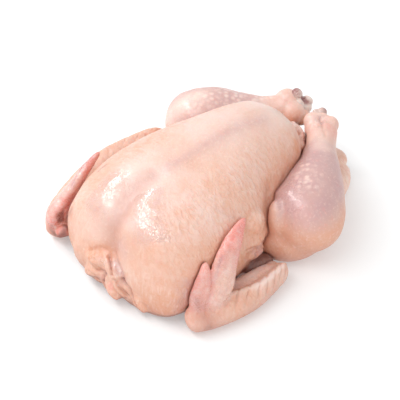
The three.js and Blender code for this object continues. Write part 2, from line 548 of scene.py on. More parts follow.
class Clay:
    """The skin's points, in millimetres, while it is being modelled."""

    def __init__(self, mesh: bpy.types.Mesh) -> None:
        """Takes the points and the edges of a mesh.

        Args:
            mesh: The mesh, in metres from the model's origin.
        """
        self.mesh = mesh
        count = len(mesh.vertices)
        flat = np.empty(count * 3)
        mesh.vertices.foreach_get("co", flat)
        self.points = flat.reshape(-1, 3) / MM + DATUM
        ends = np.empty(len(mesh.edges) * 2, dtype=int)
        mesh.edges.foreach_get("vertices", ends)
        self.first, self.second = ends.reshape(-1, 2).T
        self.valence = np.bincount(ends, minlength=count)

    def around(self, values: np.ndarray) -> np.ndarray:
        """The mean of each point's neighbours.

        Args:
            values: One number for each point.

        Returns:
            One number for each point.
        """
        count = len(values)
        total = np.bincount(self.first, values[self.second], count)
        total += np.bincount(self.second, values[self.first], count)
        return total / np.maximum(self.valence, 1)

    def relax(self, weight: float | np.ndarray, rounds: int, keep: float = 1.04) -> None:
        """Evens out the surface.

        Args:
            weight: How far each point moves towards its neighbours, from 0 to 1.
            rounds: Number of passes.
            keep: How much of the lost fullness each pass gives back, 0 where hollows should fill.
        """
        for step in range(rounds * 2):
            share = 0.5 if step % 2 == 0 else -0.5 * keep
            mean = np.stack([self.around(axis) for axis in self.points.T], axis=1)
            self.points += (mean - self.points) * np.reshape(share * weight, (-1, 1))

    def soften(self, values: np.ndarray, rounds: int) -> np.ndarray:
        """Blurs a number that each point carries.

        Args:
            values: One number for each point.
            rounds: Number of passes.

        Returns:
            One number for each point.
        """
        for _ in range(rounds):
            values = 0.5 * (values + self.around(values))
        return values

    def normals(self) -> np.ndarray:
        """Works out the outward direction at each point.

        Returns:
            One unit row for each point.
        """
        self.store()
        flat = np.empty(len(self.points) * 3)
        self.mesh.vertex_normals.foreach_get("vector", flat)
        return flat.reshape(-1, 3)

    def raise_by(self, height: np.ndarray) -> None:
        """Moves each point along its outward direction."""
        self.points += self.normals() * height[:, None]

    def near(self, forms: list[Lump], reach: float) -> np.ndarray:
        """How surely each point belongs to some forms.

        Args:
            forms: The forms.
            reach: Distance outside them at which the region has faded out, in millimetres.

        Returns:
            1 on the forms, falling to 0 at that distance.
        """
        gap = np.min([form.outside(self.points)[0] for form in forms], axis=0)
        return ramp(gap, reach, 0.3 * reach)

    def join(self, one: Lump, other: Lump, reach: float, rounds: int) -> None:
        """Fills and rounds the hollow where two forms meet.

        Args:
            one: The first form.
            other: The second form.
            reach: Half the width of the join, in millimetres.
            rounds: Number of passes.
        """
        gaps = np.stack([form.outside(self.points)[0] for form in (one, other)])
        weight = bell(gaps, reach).prod(axis=0)
        self.relax(np.clip(weight * 1.6, 0.0, 1.0), rounds, keep=0.0)

    def settle(self) -> None:
        """Keeps the skin above the table."""
        self.points[:, 2] = np.maximum(self.points[:, 2], 0.0)

    def hollowness(self) -> np.ndarray:
        """Works out how far each point lies below its surroundings.

        Returns:
            Millimetres for each point, positive in a hollow.
        """
        outward = self.normals()
        mean = np.stack([self.soften(axis, 6) for axis in self.points.T], axis=1)
        return self.soften(((mean - self.points) * outward).sum(axis=1), 2)

    def faces(self) -> list[tuple[int, ...]]:
        """The points of each face."""
        return [tuple(face.vertices) for face in self.mesh.polygons]

    def store(self) -> None:
        """Writes the points back to the mesh."""
        self.mesh.vertices.foreach_set("co", ((self.points - DATUM) * MM).ravel())
        self.mesh.update()

    def mark(self, name: str, values: np.ndarray) -> None:
        """Keeps a number for each point as an attribute that materials can read."""
        layer = self.mesh.attributes.new(name, "FLOAT", "POINT")
        layer.data.foreach_set("value", values.astype(np.float32))


# ---------------------------------------------------------------- shader maths


class Value:
    """A number socket that takes part in Python arithmetic by adding Math nodes."""

    def __init__(self, bench: "Bench", socket: bpy.types.NodeSocket) -> None:
        """Wraps an output socket."""
        self.bench = bench
        self.socket = socket

    def _math(self, operation: str, *operands: Any) -> "Value":
        """Adds one Math node for an operation on the operands."""
        sockets = dict(enumerate(operands))
        return self.bench.value("ShaderNodeMath", {"operation": operation}, sockets)

    def __add__(self, other: Any) -> "Value":
        """self + other."""
        return self._math("ADD", self, other)

    __radd__ = __add__

    def __mul__(self, other: Any) -> "Value":
        """self * other."""
        return self._math("MULTIPLY", self, other)

    __rmul__ = __mul__

    def __sub__(self, other: Any) -> "Value":
        """self - other."""
        return self._math("SUBTRACT", self, other)

    def __rsub__(self, other: Any) -> "Value":
        """other - self."""
        return self._math("SUBTRACT", other, self)

    def clamp(self) -> "Value":
        """Keeps the number from 0 to 1."""
        return self.bench.value("ShaderNodeClamp", {}, {0: self})

    def rise(self, start: float, end: float) -> "Value":
        """A smooth step.

        Args:
            start: Where it is still 0.
            end: Where it reaches 1.

        Returns:
            The step's height.
        """
        settings = {"interpolation_type": "SMOOTHSTEP"}
        sockets = {0: self, 1: start, 2: end, 3: 0.0, 4: 1.0}
        return self.bench.value("ShaderNodeMapRange", settings, sockets)


class Bench:
    """The node tree of one material, and the one way in which its nodes are added."""

    def __init__(self, name: str) -> None:
        """Starts an empty material.

        Args:
            name: The material's name.
        """
        self.material = bpy.data.materials.new(name)
        self.material.use_nodes = True
        self.tree = self.material.node_tree
        self.tree.nodes.clear()
        self.coordinates = self.add("ShaderNodeTexCoord", {}, {}).outputs["Object"]

    def add(self, kind: str, settings: dict[str, Any], sockets: dict[int | str, Any]) -> bpy.types.Node:
        """Adds a node.

        Args:
            kind: The node's type.
            settings: Its properties, set before its sockets.
            sockets: A number, colour, Value or output socket for each input that isn't left alone.

        Returns:
            The node.
        """
        node = self.tree.nodes.new(kind)
        for name, setting in settings.items():
            setattr(node, name, setting)
        for key, given in sockets.items():
            source = given.socket if isinstance(given, Value) else given
            if isinstance(source, bpy.types.NodeSocket):
                self.tree.links.new(source, node.inputs[key])
            else:
                node.inputs[key].default_value = source
        return node

    def value(self, kind: str, settings: dict[str, Any], sockets: dict[int | str, Any]) -> Value:
        """Adds a node and wraps its first output."""
        return Value(self, self.add(kind, settings, sockets).outputs[0])

    def attribute(self, name: str) -> Value:
        """A number that each point of the mesh carries."""
        node = self.add("ShaderNodeAttribute", {"attribute_name": name}, {})
        return Value(self, node.outputs["Fac"])

    def noise(
        self,
        size: float,
        detail: float = 3.0,
        roughness: float = 0.5,
        twist: float = 0.0,
        squeeze: Point = (1.0, 1.0, 1.0),
    ) -> Value:
        """Soft uneven noise from 0 to 1.

        Args:
            size: Distance between rises, in millimetres.
            detail: How many finer layers lie on it.
            roughness: How strong the finer layers are.
            twist: How much it is pulled out of shape.
            squeeze: How closely it follows each axis, less for long streaks.

        Returns:
            The noise.
        """
        factors = {0: self.coordinates, 1: squeeze}
        squeezed = self.add("ShaderNodeVectorMath", {"operation": "MULTIPLY"}, factors)
        sockets = {
            "Vector": squeezed.outputs[0],
            "Scale": 1.0 / (size * MM),
            "Detail": detail,
            "Roughness": roughness,
            "Distortion": twist,
        }
        return self.value("ShaderNodeTexNoise", {}, sockets)

    def spots(self, size: float) -> Value:
        """Distance to the nearest of many scattered spots, as a share of their spacing in mm."""
        sockets = {"Vector": self.coordinates, "Scale": 1.0 / (size * MM)}
        return self.value("ShaderNodeTexVoronoi", {}, sockets)

    def blend(self, share: Any, below: Any, above: Any) -> bpy.types.NodeSocket:
        """Lays one colour over another.

        Args:
            share: How much of the upper colour shows.
            below: The lower colour.
            above: The upper colour.

        Returns:
            The mixed colour.
        """
        settings = {"data_type": "RGBA", "blend_type": "MIX", "clamp_factor": True}
        return self.add("ShaderNodeMix", settings, {0: share, 6: below, 7: above}).outputs[2]

    def bump(self, height: Value, strength: float, depth: float) -> bpy.types.NodeSocket:
        """Makes a fine relief without moving the surface.

        Args:
            height: The relief, from 0 to about 1.
            strength: How strongly it shows.
            depth: Its depth in metres where it is 1.

        Returns:
            The bent normal.
        """
        sockets = {"Strength": strength, "Distance": depth, "Height": height}
        return self.add("ShaderNodeBump", {}, sockets).outputs[0]

    def surface(self, sockets: dict[int | str, Any]) -> bpy.types.Material:
        """Closes the tree with a surface.

        Args:
            sockets: What the surface's inputs receive.

        Returns:
            The finished material.
        """
        shader = self.add("ShaderNodeBsdfPrincipled", {}, sockets)
        self.add("ShaderNodeOutputMaterial", {}, {"Surface": shader.outputs[0]})
        return self.material


def paint(red: int, green: int, blue: int) -> Colour:
    """A linear colour.

    Args:
        red: Its red in a swatch, from 0 to 255.
        green: Its green.
        blue: Its blue.

    Returns:
        Red, green, blue and a full alpha, from 0 to 1.
    """
    parts = (channel / 255.0 for channel in (red, green, blue))
    linear = [part / 12.92 if part < 0.04045 else ((part + 0.055) / 1.055) ** 2.4 for part in parts]
    return (*linear, 1.0)


# ---------------------------------------------------------------- finishes


@dataclass(frozen=True)
class RawSkin:
    """Moist raw poultry skin over pale meat, with its colour, painted shade and painted light worked out
    region by region.
    """

    peach: Colour = paint(222, 180, 160)
    cream: Colour = paint(230, 203, 193)
    mauve: Colour = paint(194, 152, 151)
    rosy: Colour = paint(236, 148, 136)
    scarlet: Colour = paint(216, 96, 82)
    orange: Colour = paint(218, 150, 114)
    # pale is also the colour of painted highlights and painted light.
    pale: Colour = paint(244, 216, 204)
    fat: Colour = paint(240, 200, 160)
    # deep and dark are the colours of painted shade.
    deep: Colour = paint(164, 84, 62)
    dark: Colour = paint(92, 38, 26)
    violet: Colour = paint(160, 118, 138)
    furrow_squeeze: Point = (1.0, 0.28, 0.28)
    streak_squeeze: Point = (1.0, 1.0, 0.2)
    pebble_squeeze: Point = (1.0, 0.7, 0.5)
    pimple_spacing: float = 3.4
    follicle_spacing: float = 5.0
    crackle: float = 0.004
    relief_strength: float = 0.7
    relief_depth: float = 0.001
    dry_roughness: float = 0.47
    film_gloss: float = 0.37
    scatter: float = 0.2
    scatter_spread: Point = (1.0, 0.35, 0.2)
    scatter_depth: float = 0.0022

    def make(self) -> bpy.types.Material:
        """Builds the material.

        Returns:
            The material, which reads the amounts that each piece of flesh leaves on its points.
        """
        bench = Bench("raw_skin")
        names = ("mauve", "rosy", "orange", "goose", "wet", "painted_shade", "deep", "violet", "pale", "pores", "net")
        mauve, rosy, orange, goose, wet, painted_shade, deep, violet, pale, pores, net = map(bench.attribute, names)
        broad = bench.noise(60.0, 2.0)
        cloud = bench.noise(17.0, 4.0, 0.6, 0.4)
        grain = bench.noise(2.4, 4.0, 0.65)
        furrow = bench.noise(2.6, 3.0, 0.6, 0.7, self.furrow_squeeze)
        streak = bench.noise(2.4, 2.0, 0.5, 0.6, self.streak_squeeze)
        pebble = bench.noise(3.4, 2.0, 0.5, 0.4, self.pebble_squeeze).rise(0.38, 0.6)
        mottle = bench.noise(6.5, 4.0, 0.65, 0.8)
        pimple = bench.spots(self.pimple_spacing).rise(0.5, 0.1) * cloud.rise(0.42, 0.7)
        follicle = bench.spots(self.follicle_spacing).rise(0.68, 0.12) * goose * cloud.rise(0.25, 0.55)
        crinkle = bench.noise(4.4, 1.6, 0.45, 1.6)
        middle = crinkle - 0.5
        plate = (middle * middle).rise(0.0, self.crackle)
        layers = (
            (cloud.rise(0.45, 0.75) * 0.25, self.orange),
            (orange * (cloud * 0.6 + 0.7), self.orange),
            (mauve * (cloud * 0.7 + 0.6), self.mauve),
            (rosy * (cloud * 0.5 + 0.75), self.rosy),
            ((rosy - 0.85) * 1.8, self.scarlet),
            (violet * (cloud * 0.6 + 0.7), self.violet),
            (pale, self.pale),
            (follicle * 0.7, self.pale),
            (pimple * pores * 0.1, self.fat),
            # Pale on the tops of the fine grain: partly the skin's own speckle, partly painted light on the
            # relief.
            (grain.rise(0.5, 0.75) * 0.4, self.pale),
            (mottle.rise(0.55, 0.8) * 0.3, self.pale),
            (mottle.rise(0.45, 0.25) * 0.25, self.rosy),
            # Pale on the tops and orange in the furrows and between the pebbles and streaks of the relief:
            # partly the skin's own mottling, partly painted light and painted shade.
            (pebble * pores * 0.05, self.pale),
            (furrow.rise(0.52, 0.3) * 0.4 * pores, self.orange),
            ((1 - pebble * 0.5) * pores * (cloud * 0.4 + 0.15), self.orange),
            (streak.rise(0.5, 0.3) * net * 0.45, self.orange),
            (streak.rise(0.52, 0.72) * net * 0.4, self.pale),
            # Painted shade: creases, gaps between pieces and skin near the table, deep brown, and near black
            # in the deepest lines.
            (painted_shade * 0.62, self.deep),
            ((painted_shade - 0.62) * 1.6, self.dark),
            # Near-black painted shade in the body's mouth and in the gap under the right wing.
            (deep, self.dark),
            # Painted shade: wet skin darker and bluer round its highlights, darkest along the crackle lines
            # of the film.
            (wet.clamp() * 0.16 + (1 - plate) * wet * 0.36, self.mauve),
        )
        tone = bench.blend(broad.rise(0.3, 0.7), self.cream, self.peach)
        for share, colour in layers:
            tone = bench.blend(share, tone, colour)
        film = (wet * (mottle.rise(0.36, 0.48) * 0.6 + 0.55)).clamp() * (plate * 0.7 + 0.3)
        dry = 1 - film * 0.85
        relief = (grain * 0.45 + furrow * pores * 0.5 + (pebble * pores + streak * net) * 0.4) * dry
        relief = relief + crinkle * (film * 0.12 + 0.25) + plate * film * 0.14 + follicle * 0.4
        return bench.surface(
            {
                "Base Color": tone,
                "Roughness": self.dry_roughness - film * self.film_gloss,
                "IOR": 1.5,
                "Specular IOR Level": 1.0,
                "Subsurface Weight": self.scatter,
                "Subsurface Radius": self.scatter_spread,
                "Subsurface Scale": self.scatter_depth,
                "Normal": bench.bump(relief, self.relief_strength, self.relief_depth),
            }
        )


@dataclass(frozen=True)
class WetGristle:
    """The pale end of a leg bone, glassy, with bruised red patches."""

    white: Colour = paint(226, 206, 196)
    bruise: Colour = paint(148, 92, 92)
    patch_size: float = 7.0
    relief_size: float = 3.0
    relief_strength: float = 0.4
    relief_depth: float = 0.0008
    roughness: float = 0.2
    scatter: float = 0.3
    scatter_spread: Point = (1.0, 0.6, 0.5)
    scatter_depth: float = 0.003

    def make(self) -> bpy.types.Material:
        """Builds the material.

        Returns:
            The material, which reads how bruised each point is.
        """
        bench = Bench("wet_gristle")
        patch = bench.noise(self.patch_size, 3.0, 0.55, 0.6)
        share = (bench.attribute("bruise") + patch.rise(0.5, 0.68) * 0.55).clamp()
        relief = bench.noise(self.relief_size)
        return bench.surface(
            {
                "Base Color": bench.blend(share * 0.9, self.white, self.bruise),
                "Roughness": self.roughness,
                "Subsurface Weight": self.scatter,
                "Subsurface Radius": self.scatter_spread,
                "Subsurface Scale": self.scatter_depth,
                "Normal": bench.bump(relief, self.relief_strength, self.relief_depth),
            }
        )


@dataclass(frozen=True)
class TableTop:
    """The plain white surface that the bird lies on."""

    white: Colour = (0.74, 0.755, 0.76, 1.0)
    roughness: float = 0.9
    shine: float = 0.1
    glow: float = 0.24

    def make(self) -> bpy.types.Material:
        """Builds the material.

        Returns:
            The material.
        """
        return Bench("table_top").surface(
            {
                "Base Color": self.white,
                "Roughness": self.roughness,
                "Specular IOR Level": self.shine,
                "Emission Color": WHITE,
                "Emission Strength": self.glow,
            }
        )


# ---------------------------------------------------------------- pieces of flesh


def placed(name: str, work: bmesh.types.BMesh) -> bpy.types.Object:
    """Puts a bmesh into the scene as an object and frees it.

    Args:
        name: The object's name.
        work: The bmesh.

    Returns:
        The object.
    """
    mesh = bpy.data.meshes.new(name)
    work.to_mesh(mesh)
    work.free()
    made = bpy.data.objects.new(name, mesh)
    bpy.context.scene.collection.objects.link(made)
    return made


@dataclass
class Flesh:
    """A piece that is pressed from several forms, fused into one skin and then modelled."""

    name: str = "flesh"
    voxel: float = 1.4
    fine_reach: float = 6.0
    block: Point = (0.6, 0.6, 0.1)

    def forms(self) -> list[Form]:
        """The forms that it is made of."""
        raise NotImplementedError

    def openings(self) -> list[Form]:
        """The forms that are cut out of it."""
        return []

    def additions(self) -> list[Form]:
        """The forms that are added after the openings are cut."""
        return []

    def fine(self) -> list[Lump]:
        """The forms whose skin is modelled in finer detail."""
        return []

    def model(self, clay: Clay) -> None:
        """Turns the fused forms into soft flesh."""
        raise NotImplementedError

    def colour(self, clay: Clay) -> dict[str, np.ndarray]:
        """How much of each tint lies on each point."""
        raise NotImplementedError

    def finish(self) -> bpy.types.Material:
        """The material of the piece."""
        return bpy.data.materials.get("raw_skin") or RawSkin().make()

    def shell(self, name: str, forms: list[Form]) -> bpy.types.Object:
        """Makes one object that holds the closed shells of several forms.

        Args:
            name: The object's name.
            forms: What it holds.

        Returns:
            The object.
        """
        work = bmesh.new()
        for form in forms:
            form.add_to(work)
        bmesh.ops.recalc_face_normals(work, faces=work.faces[:])
        return placed(name, work)

    def apply(self, made: bpy.types.Object) -> None:
        """Puts an object's modifiers into its mesh.

        Args:
            made: The object.
        """
        state = made.evaluated_get(bpy.context.evaluated_depsgraph_get())
        mesh = bpy.data.meshes.new_from_object(state)
        made.modifiers.clear()
        made.data = mesh

    def remesh(self, made: bpy.types.Object) -> None:
        """Fuses overlapping shells into one even skin.

        Args:
            made: The object that holds them.
        """
        fuse = made.modifiers.new("fuse", "REMESH")
        fuse.mode = "VOXEL"
        fuse.voxel_size = self.voxel * MM
        self.apply(made)

    def cut(self, made: bpy.types.Object, cutter: bpy.types.Object) -> None:
        """Takes one solid out of another and removes the cutter.

        Args:
            made: The solid that is cut.
            cutter: The solid that is taken out of it.
        """
        step = made.modifiers.new("cut", "BOOLEAN")
        step.operation = "DIFFERENCE"
        step.solver = "MANIFOLD"
        step.object = cutter
        self.apply(made)
        bpy.data.objects.remove(cutter, do_unlink=True)

    def block_below(self) -> bpy.types.Object:
        """Makes a block whose top is the table, for cutting the piece flat where it lies.

        Returns:
            The block.
        """
        work = bmesh.new()
        made = bmesh.ops.create_cube(work, size=1.0)["verts"]
        bmesh.ops.scale(work, vec=Vector(self.block), verts=made)
        bmesh.ops.translate(work, vec=Vector((0.0, 0.0, -self.block[2] / 2)), verts=made)
        return placed("block", work)

    def fuse(self) -> bpy.types.Object:
        """Joins all forms, cuts the openings and cuts the piece flat underneath.

        Returns:
            The object, with one closed skin of even faces.
        """
        whole = self.shell(self.name, self.forms())
        self.remesh(whole)
        for form in self.openings():
            self.cut(whole, self.shell("opening", [form]))
        self.cut(whole, self.block_below())
        if self.additions():
            extra = self.shell("extra", self.additions())
            work = bmesh.new()
            work.from_mesh(whole.data)
            work.from_mesh(extra.data)
            work.to_mesh(whole.data)
            work.free()
            bpy.data.objects.remove(extra, do_unlink=True)
        self.remesh(whole)
        return whole

    def refine(self, whole: bpy.types.Object) -> None:
        """Splits the faces round the fine forms in four.

        Args:
            whole: The object that is refined.
        """
        clay = Clay(whole.data)
        chosen = clay.near(self.fine(), self.fine_reach) > 0.0
        work = bmesh.new()
        work.from_mesh(whole.data)
        edges = [edge for edge in work.edges if all(chosen[end.index] for end in edge.verts)]
        bmesh.ops.subdivide_edges(work, edges=edges, cuts=1, use_grid_fill=True)
        work.to_mesh(whole.data)
        work.free()

    def shade(self, clay: Clay) -> np.ndarray:
        """How deeply the skin lies in its own shade near the table, from 0 to 1."""
        return ramp(clay.normals()[:, 2], 0.25, -0.6) * ramp(clay.points[:, 2], 42.0, 10.0)

    def build(self) -> Clay:
        """Makes and dresses the piece.

        Returns:
            Its modelled points.
        """
        whole = self.fuse()
        if self.fine():
            self.refine(whole)
        whole.data.name = self.name
        clay = Clay(whole.data)
        clay.relax(0.8, 2)
        self.model(clay)
        clay.settle()
        clay.store()
        for name, amount in self.colour(clay).items():
            clay.mark(name, clay.soften(np.clip(amount, 0.0, 1.0), 2))
        whole.data.materials.clear()
        whole.data.materials.append(self.finish())
        whole.data.shade_smooth()
        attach(whole, BODY)
        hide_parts(NODE)
        whole.data.calc_loop_triangles()
        LOG.info("%s: %d triangles", self.name, len(whole.data.loop_triangles))
        return clay


@dataclass
class Carcass(Flesh):
    """Breast, back, neck skin and rump.

    Each fold of the neck is its top, middle and foot, and half its width.
    """

    name: str = "body_skin"
    fine_reach: float = 4.0
    trunk: Trunk = Trunk()
    neck: tuple[tuple[Point, Point, Point, float], ...] = (
        ((-80, 16, 64), (-95, 29, 33), (-90, 37, 2), 17),
        ((-81, 11, 66), (-97, 15, 34), (-94, 19, 2), 12),
        ((-81, 5, 66), (-98, 0, 32), (-95, -3, 2), 12),
        ((-80, 0, 64), (-95, -14, 30), (-90, -21, 2), 13),
    )
    rump: Limb = Limb(
        spine=((56, 0, 24), (94, 0, 30), (124, -4, 26), (144, -10, 20)),
        girth=((46, 28), (46, 31), (36, 26), (22, 16)),
        rounding=(0.3, 0.25),
    )
    tail: Limb = Limb(
        spine=((116, -8, 16), (145, -21, 15), (168, -32, 12)),
        girth=((28, 16), (20, 12), (11, 8)),
        rounding=(0.3, 0.2),
    )
    flank: Limb = Limb(
        spine=((158, -34, 11), (139, -48, 11), (112, -58, 13)),
        girth=((8, 8), (11, 10), (12, 12)),
        rounding=(0.25, 0.25),
    )
    skirt: Limb = Limb(
        spine=((98, -18, 60), (112, -20, 52), (126, -18, 36)),
        girth=((11, 6), (12, 6), (9, 5)),
        facing=(0.4, 0.0, 1.0),
        rounding=(0.2, 0.2),
    )
    flap: Limb = Limb(
        spine=((108, -8, 71), (119, -11, 62), (121, -17, 52), (118, -23, 42)),
        girth=((6, 3.5), (6, 3.5), (5, 3.5), (4, 3)),
        facing=(0.5, -0.5, 0.7),
        rounding=(0.2, 0.2),
    )
    mouth: Limb = Limb(
        spine=((100, 0, 32), (128, -1, 34), (154, -2, 38)),
        girth=((12, 8), (18, 13), (20, 13)),
        rounding=(0.3, 0.3),
    )
    groins: tuple[Limb, ...] = (
        Limb(
            spine=((104, -30, 52), (66, -50, 52), (34, -58, 42), (14, -64, 26)),
            girth=((8, 8), (13, 12), (14, 12), (12, 12)),
            rounding=(0.3, 0.3),
        ),
        Limb(
            spine=((104, 30, 52), (76, 44, 54), (50, 54, 46), (24, 62, 30)),
            girth=((8, 8), (13, 12), (14, 12), (12, 12)),
            rounding=(0.3, 0.3),
        ),
    )
    roll_shapes: tuple[tuple[Stations, Stations], ...] = (
        (
            ((-98, 10, 46), (-102, -3, 41), (-104, -12, 31), (-102, -21, 14)),
            ((3.5, 3.5), (5, 4.5), (5.5, 5), (5, 4)),
        ),
        (((-101, 26, 34), (-104, 12, 36), (-102, 1, 42)), ((5, 4), (5, 4.5), (4, 4))),
        (((-104, 4, 28), (-104, 16, 20), (-101, 29, 10)), ((3.5, 4), (5, 4.5), (4, 4))),
        (((-104, -4, 24), (-105, -9, 17), (-103, -15, 9)), ((4, 4), (6.5, 4.5), (5, 4))),
        (((-96, -30, 26), (-98, -34, 14), (-94, -40, 6)), ((4, 4), (6, 5), (5, 4))),
    )
    pad_shapes: tuple[tuple[Stations, Stations], ...] = (
        (((-20, -71, 11), (0, -73, 13), (22, -74, 11)), ((9, 10), (10, 11), (9, 10))),
        (((-18, -64, 56), (0, -65, 60), (18, -59, 60)), ((8, 9), (12, 11), (8, 9))),
        (((-18, -69, 44), (-2, -70, 47), (14, -66, 46)), ((8, 8), (9, 9), (8, 8))),
        (((-14, -72, 33), (0, -71, 35), (12, -69, 34)), ((7, 7), (8, 8), (7, 7))),
    )
    beside_leg: Stations = ((36, -54, 68), (28, -60, 58), (24, -64, 48), (18, -70, 38))
    leg_hollow: Stroke = Stroke(((36, -54, 68), (28, -60, 58), (25, -63, 50)), -3.0, 9.0, 0.0)
    lumpy: tuple[Stroke, ...] = (
        Stroke(((-2, -74, 54),), 1.5, 19.0),
        Stroke(((-103, 8, 32),), 0.9, 26.0),
        Stroke(((-98, -30, 20),), 0.5, 16.0),
    )
    keel_line: Stations = ((84, -13, 96), (32, -8, 107), (-9, -4, 105), (-42, 1, 100))
    cleft_line: Stations = (
        (-30, 1, 102),
        (-45, 3, 99),
        (-57, 5, 93),
        (-69, 5, 87),
        (-82, 2, 79),
        (-93, 0, 64),
        (-97, -1, 55),
        (-100, -5, 44),
    )
    cleft_branch: Stations = ((-99, 2, 46), (-101, -2, 45), (-104, -7, 41), (-105, -9, 37), (-106, -11, 34))
    neck_seam: Stations = (
        (-102, -18, 36),
        (-102, -20, 32),
        (-101, -26, 27),
        (-100, -28, 21),
        (-101, -34, 14),
        (-99, -38, 7),
    )
    neck_split: Stations = ((-105, 1, 27), (-105, 1, 22), (-105, 3, 17), (-105, 2, 12))
    neck_fold: Stations = (
        (-109, -10, 34),
        (-107, -16, 32),
        (-107, -18, 28),
        (-104, -22, 22),
        (-101, -25, 14),
    )
    # The ridges and creases that are modelled one by one.
    strokes: tuple[Stroke, ...] = (
        Stroke(keel_line, 0.9, 5.5),
        Stroke(cleft_line, -2.2, 8.0),
        Stroke(cleft_branch, -2.0, 1.5),
        Stroke(((-95, -3, 54), (-99, -9, 48), (-101, -17, 41), (-102, -20, 33)), -1.0, 2.6),
        Stroke(neck_seam, -2.6, 1.6, 0.1),
        Stroke(((-106, 13, 27), (-106, 9, 28), (-105, 5, 30), (-106, -1, 32), (-107, -6, 33)), -1.8, 1.2),
        Stroke(((-105, 0, 29),), -3.4, 2.0),
        Stroke(neck_split, -2.4, 1.4, 0.08),
        Stroke(neck_fold, -1.6, 1.3),
        Stroke(((-106, 11, 19), (-105, 13, 15), (-103, 11, 10)), -1.0, 1.2),
        Stroke(((-106, 8, 24), (-105, 17, 20), (-103, 24, 14)), -0.9, 1.2),
        Stroke(((-104, 25, 37), (-102, 18, 43), (-100, 11, 48), (-97, 3, 50)), -0.9, 1.7),
        Stroke(((-105, 22, 33), (-106, 14, 37), (-106, 6, 40)), -0.6, 1.2),
        Stroke(((-106, 16, 34), (-107, 8, 36), (-107, 1, 38)), -0.5, 1.1),
        Stroke(((-107, -8, 27), (-108, -12, 25)), -0.8, 1.3),
        Stroke(((-100, -1, 47), (-103, -5, 42), (-105, -8, 38)), -0.8, 1.2),
        Stroke(((-29, -51, 90), (-26, -58, 85), (-21, -63, 80), (-15, -66, 76)), -0.7, 1.8),
        Stroke(((-22, -55, 88), (-18, -61, 83), (-13, -64, 79)), -0.5, 1.6),
        Stroke(((27, -62, 46), (22, -68, 38), (14, -72, 30)), -1.6, 1.8),
        Stroke(((18, -72, 34), (2, -80, 40), (-17, -80, 47)), -1.6, 1.8),
        Stroke(((-14, -80, 43), (-14, -82, 34)), -1.2, 1.5),
        Stroke(((-4, -80, 40), (-5, -80, 30)), -1.2, 1.5),
        Stroke(((6, -76, 38), (8, -76, 28)), -1.0, 1.5),
        Stroke(((15, -70, 37), (3, -76, 42), (-3, -77, 40)), -1.2, 1.4),
    )
    # Where the film of water on the skin is thickest.
    glaze: tuple[Stroke, ...] = (
        Stroke(((-88, 26, 78), (-78, 27, 84), (-66, 26, 88)), 1.3, 13.0, 0.0),
        Stroke(((-54, -4, 95), (-66, -14, 91), (-78, -26, 85), (-86, -42, 76)), 1.5, 13.0, 0.1),
        Stroke(((-105, 17, 39), (-105, 9, 42), (-106, 3, 43), (-107, -4, 42)), 0.6, 4.0, 0.05),
        Stroke(((-101, -5, 45), (-102, -11, 42), (-102, -16, 36)), 1.3, 4.0, 0.05),
    )
    # Where the meat shows blue through the skin along the keel; the other strokes are painted shade in the
    # cleft, on the breast beside the right wing and along the neck's crease.
    mauve: tuple[Stroke, ...] = (
        Stroke(keel_line, 0.3, 4.5, 0.1),
        Stroke(keel_line, 0.2, 14.0, 0.1),
        Stroke(cleft_line, 0.2, 12.0),
        Stroke(((-98, -9, 50), (-102, -24, 30)), 0.6, 5.0),
        Stroke(((-70, -74, 52), (-76, -76, 44), (-82, -76, 34)), 0.9, 10.0),
        Stroke(((-8, -82, 38), (8, -78, 36)), 0.8, 7.0),
        Stroke(((-84, -64, 36), (-80, -74, 18)), 0.6, 9.0),
        Stroke(((-92, -8, 66), (-94, -22, 58)), 0.35, 8.0),
    )
    # Painted shade: dark lines in the creases between folds, round the vent and in the gaps where the legs
    # and wings meet the body.
    line_shade: tuple[Stroke, ...] = (
        Stroke(((73, -45, 71), (58, -50, 68), (47, -55, 64), (39, -59, 60)), 0.6, 1.8),
        Stroke(((18, -77, 25), (-1, -74, 20), (-24, -76, 24)), 0.9, 5.0),
        Stroke(((-89, 56, 60), (-91, 58, 53), (-89, 67, 36), (-89, 70, 23)), 0.75, 2.5),
        Stroke(((97, -27, 82), (93, -32, 81), (95, -35, 73)), 0.35, 2.0),
        Stroke(((-61, 57, 79), (-56, 56, 81), (-50, 54, 85)), 0.9, 1.3),
    )
    # Where the skin is warm and reddish.
    pink: tuple[Stroke, ...] = (
        Stroke(((-91, -53, 60), (-94, -60, 27)), 0.25, 22.0, 0.0),
        Stroke(((77, -34, 87), (50, -45, 85)), 0.18, 18.0, 0.0),
        Stroke(((-104, 18, 40), (-100, 3, 47)), 0.7, 7.0, 0.0),
        Stroke(((27, -62, 44), (24, -70, 34)), 0.6, 5.0),
        Stroke(((93, -33, 80), (88, -38, 76), (91, -38, 70)), 0.6, 5.0),
        Stroke(((-4, -72, 62), (-2, -74, 50)), 0.25, 14.0, 0.0),
    )
    # Painted highlights: small bright sparks on the wet folds of the neck.
    glints: tuple[Stroke, ...] = (
        Stroke(((-104, 18, 40), (-102, 13, 42), (-105, 6, 43), (-107, -3, 42)), 0.25, 4.0, 0.05),
        Stroke(((-100, -4, 45), (-102, -8, 43), (-102, -12, 41), (-103, -16, 36)), 0.8, 3.5, 0.05),
    )
    # Where the skin is palest.
    cream: tuple[Stroke, ...] = (
        Stroke(((-97, 34, 62), (-82, 50, 66)), 0.5, 16.0, 0.0),
        Stroke(((-98, -28, 44), (-84, -52, 62)), 0.3, 18.0, 0.0),
    )
    # Where the neck's folds are reddest.
    flush: tuple[Stroke, ...] = (
        Stroke(((-107, -6, 24), (-108, -12, 20)), 0.45, 5.0),
        Stroke(((-105, 1, 27), (-105, 2, 12)), 0.3, 2.5),
    )

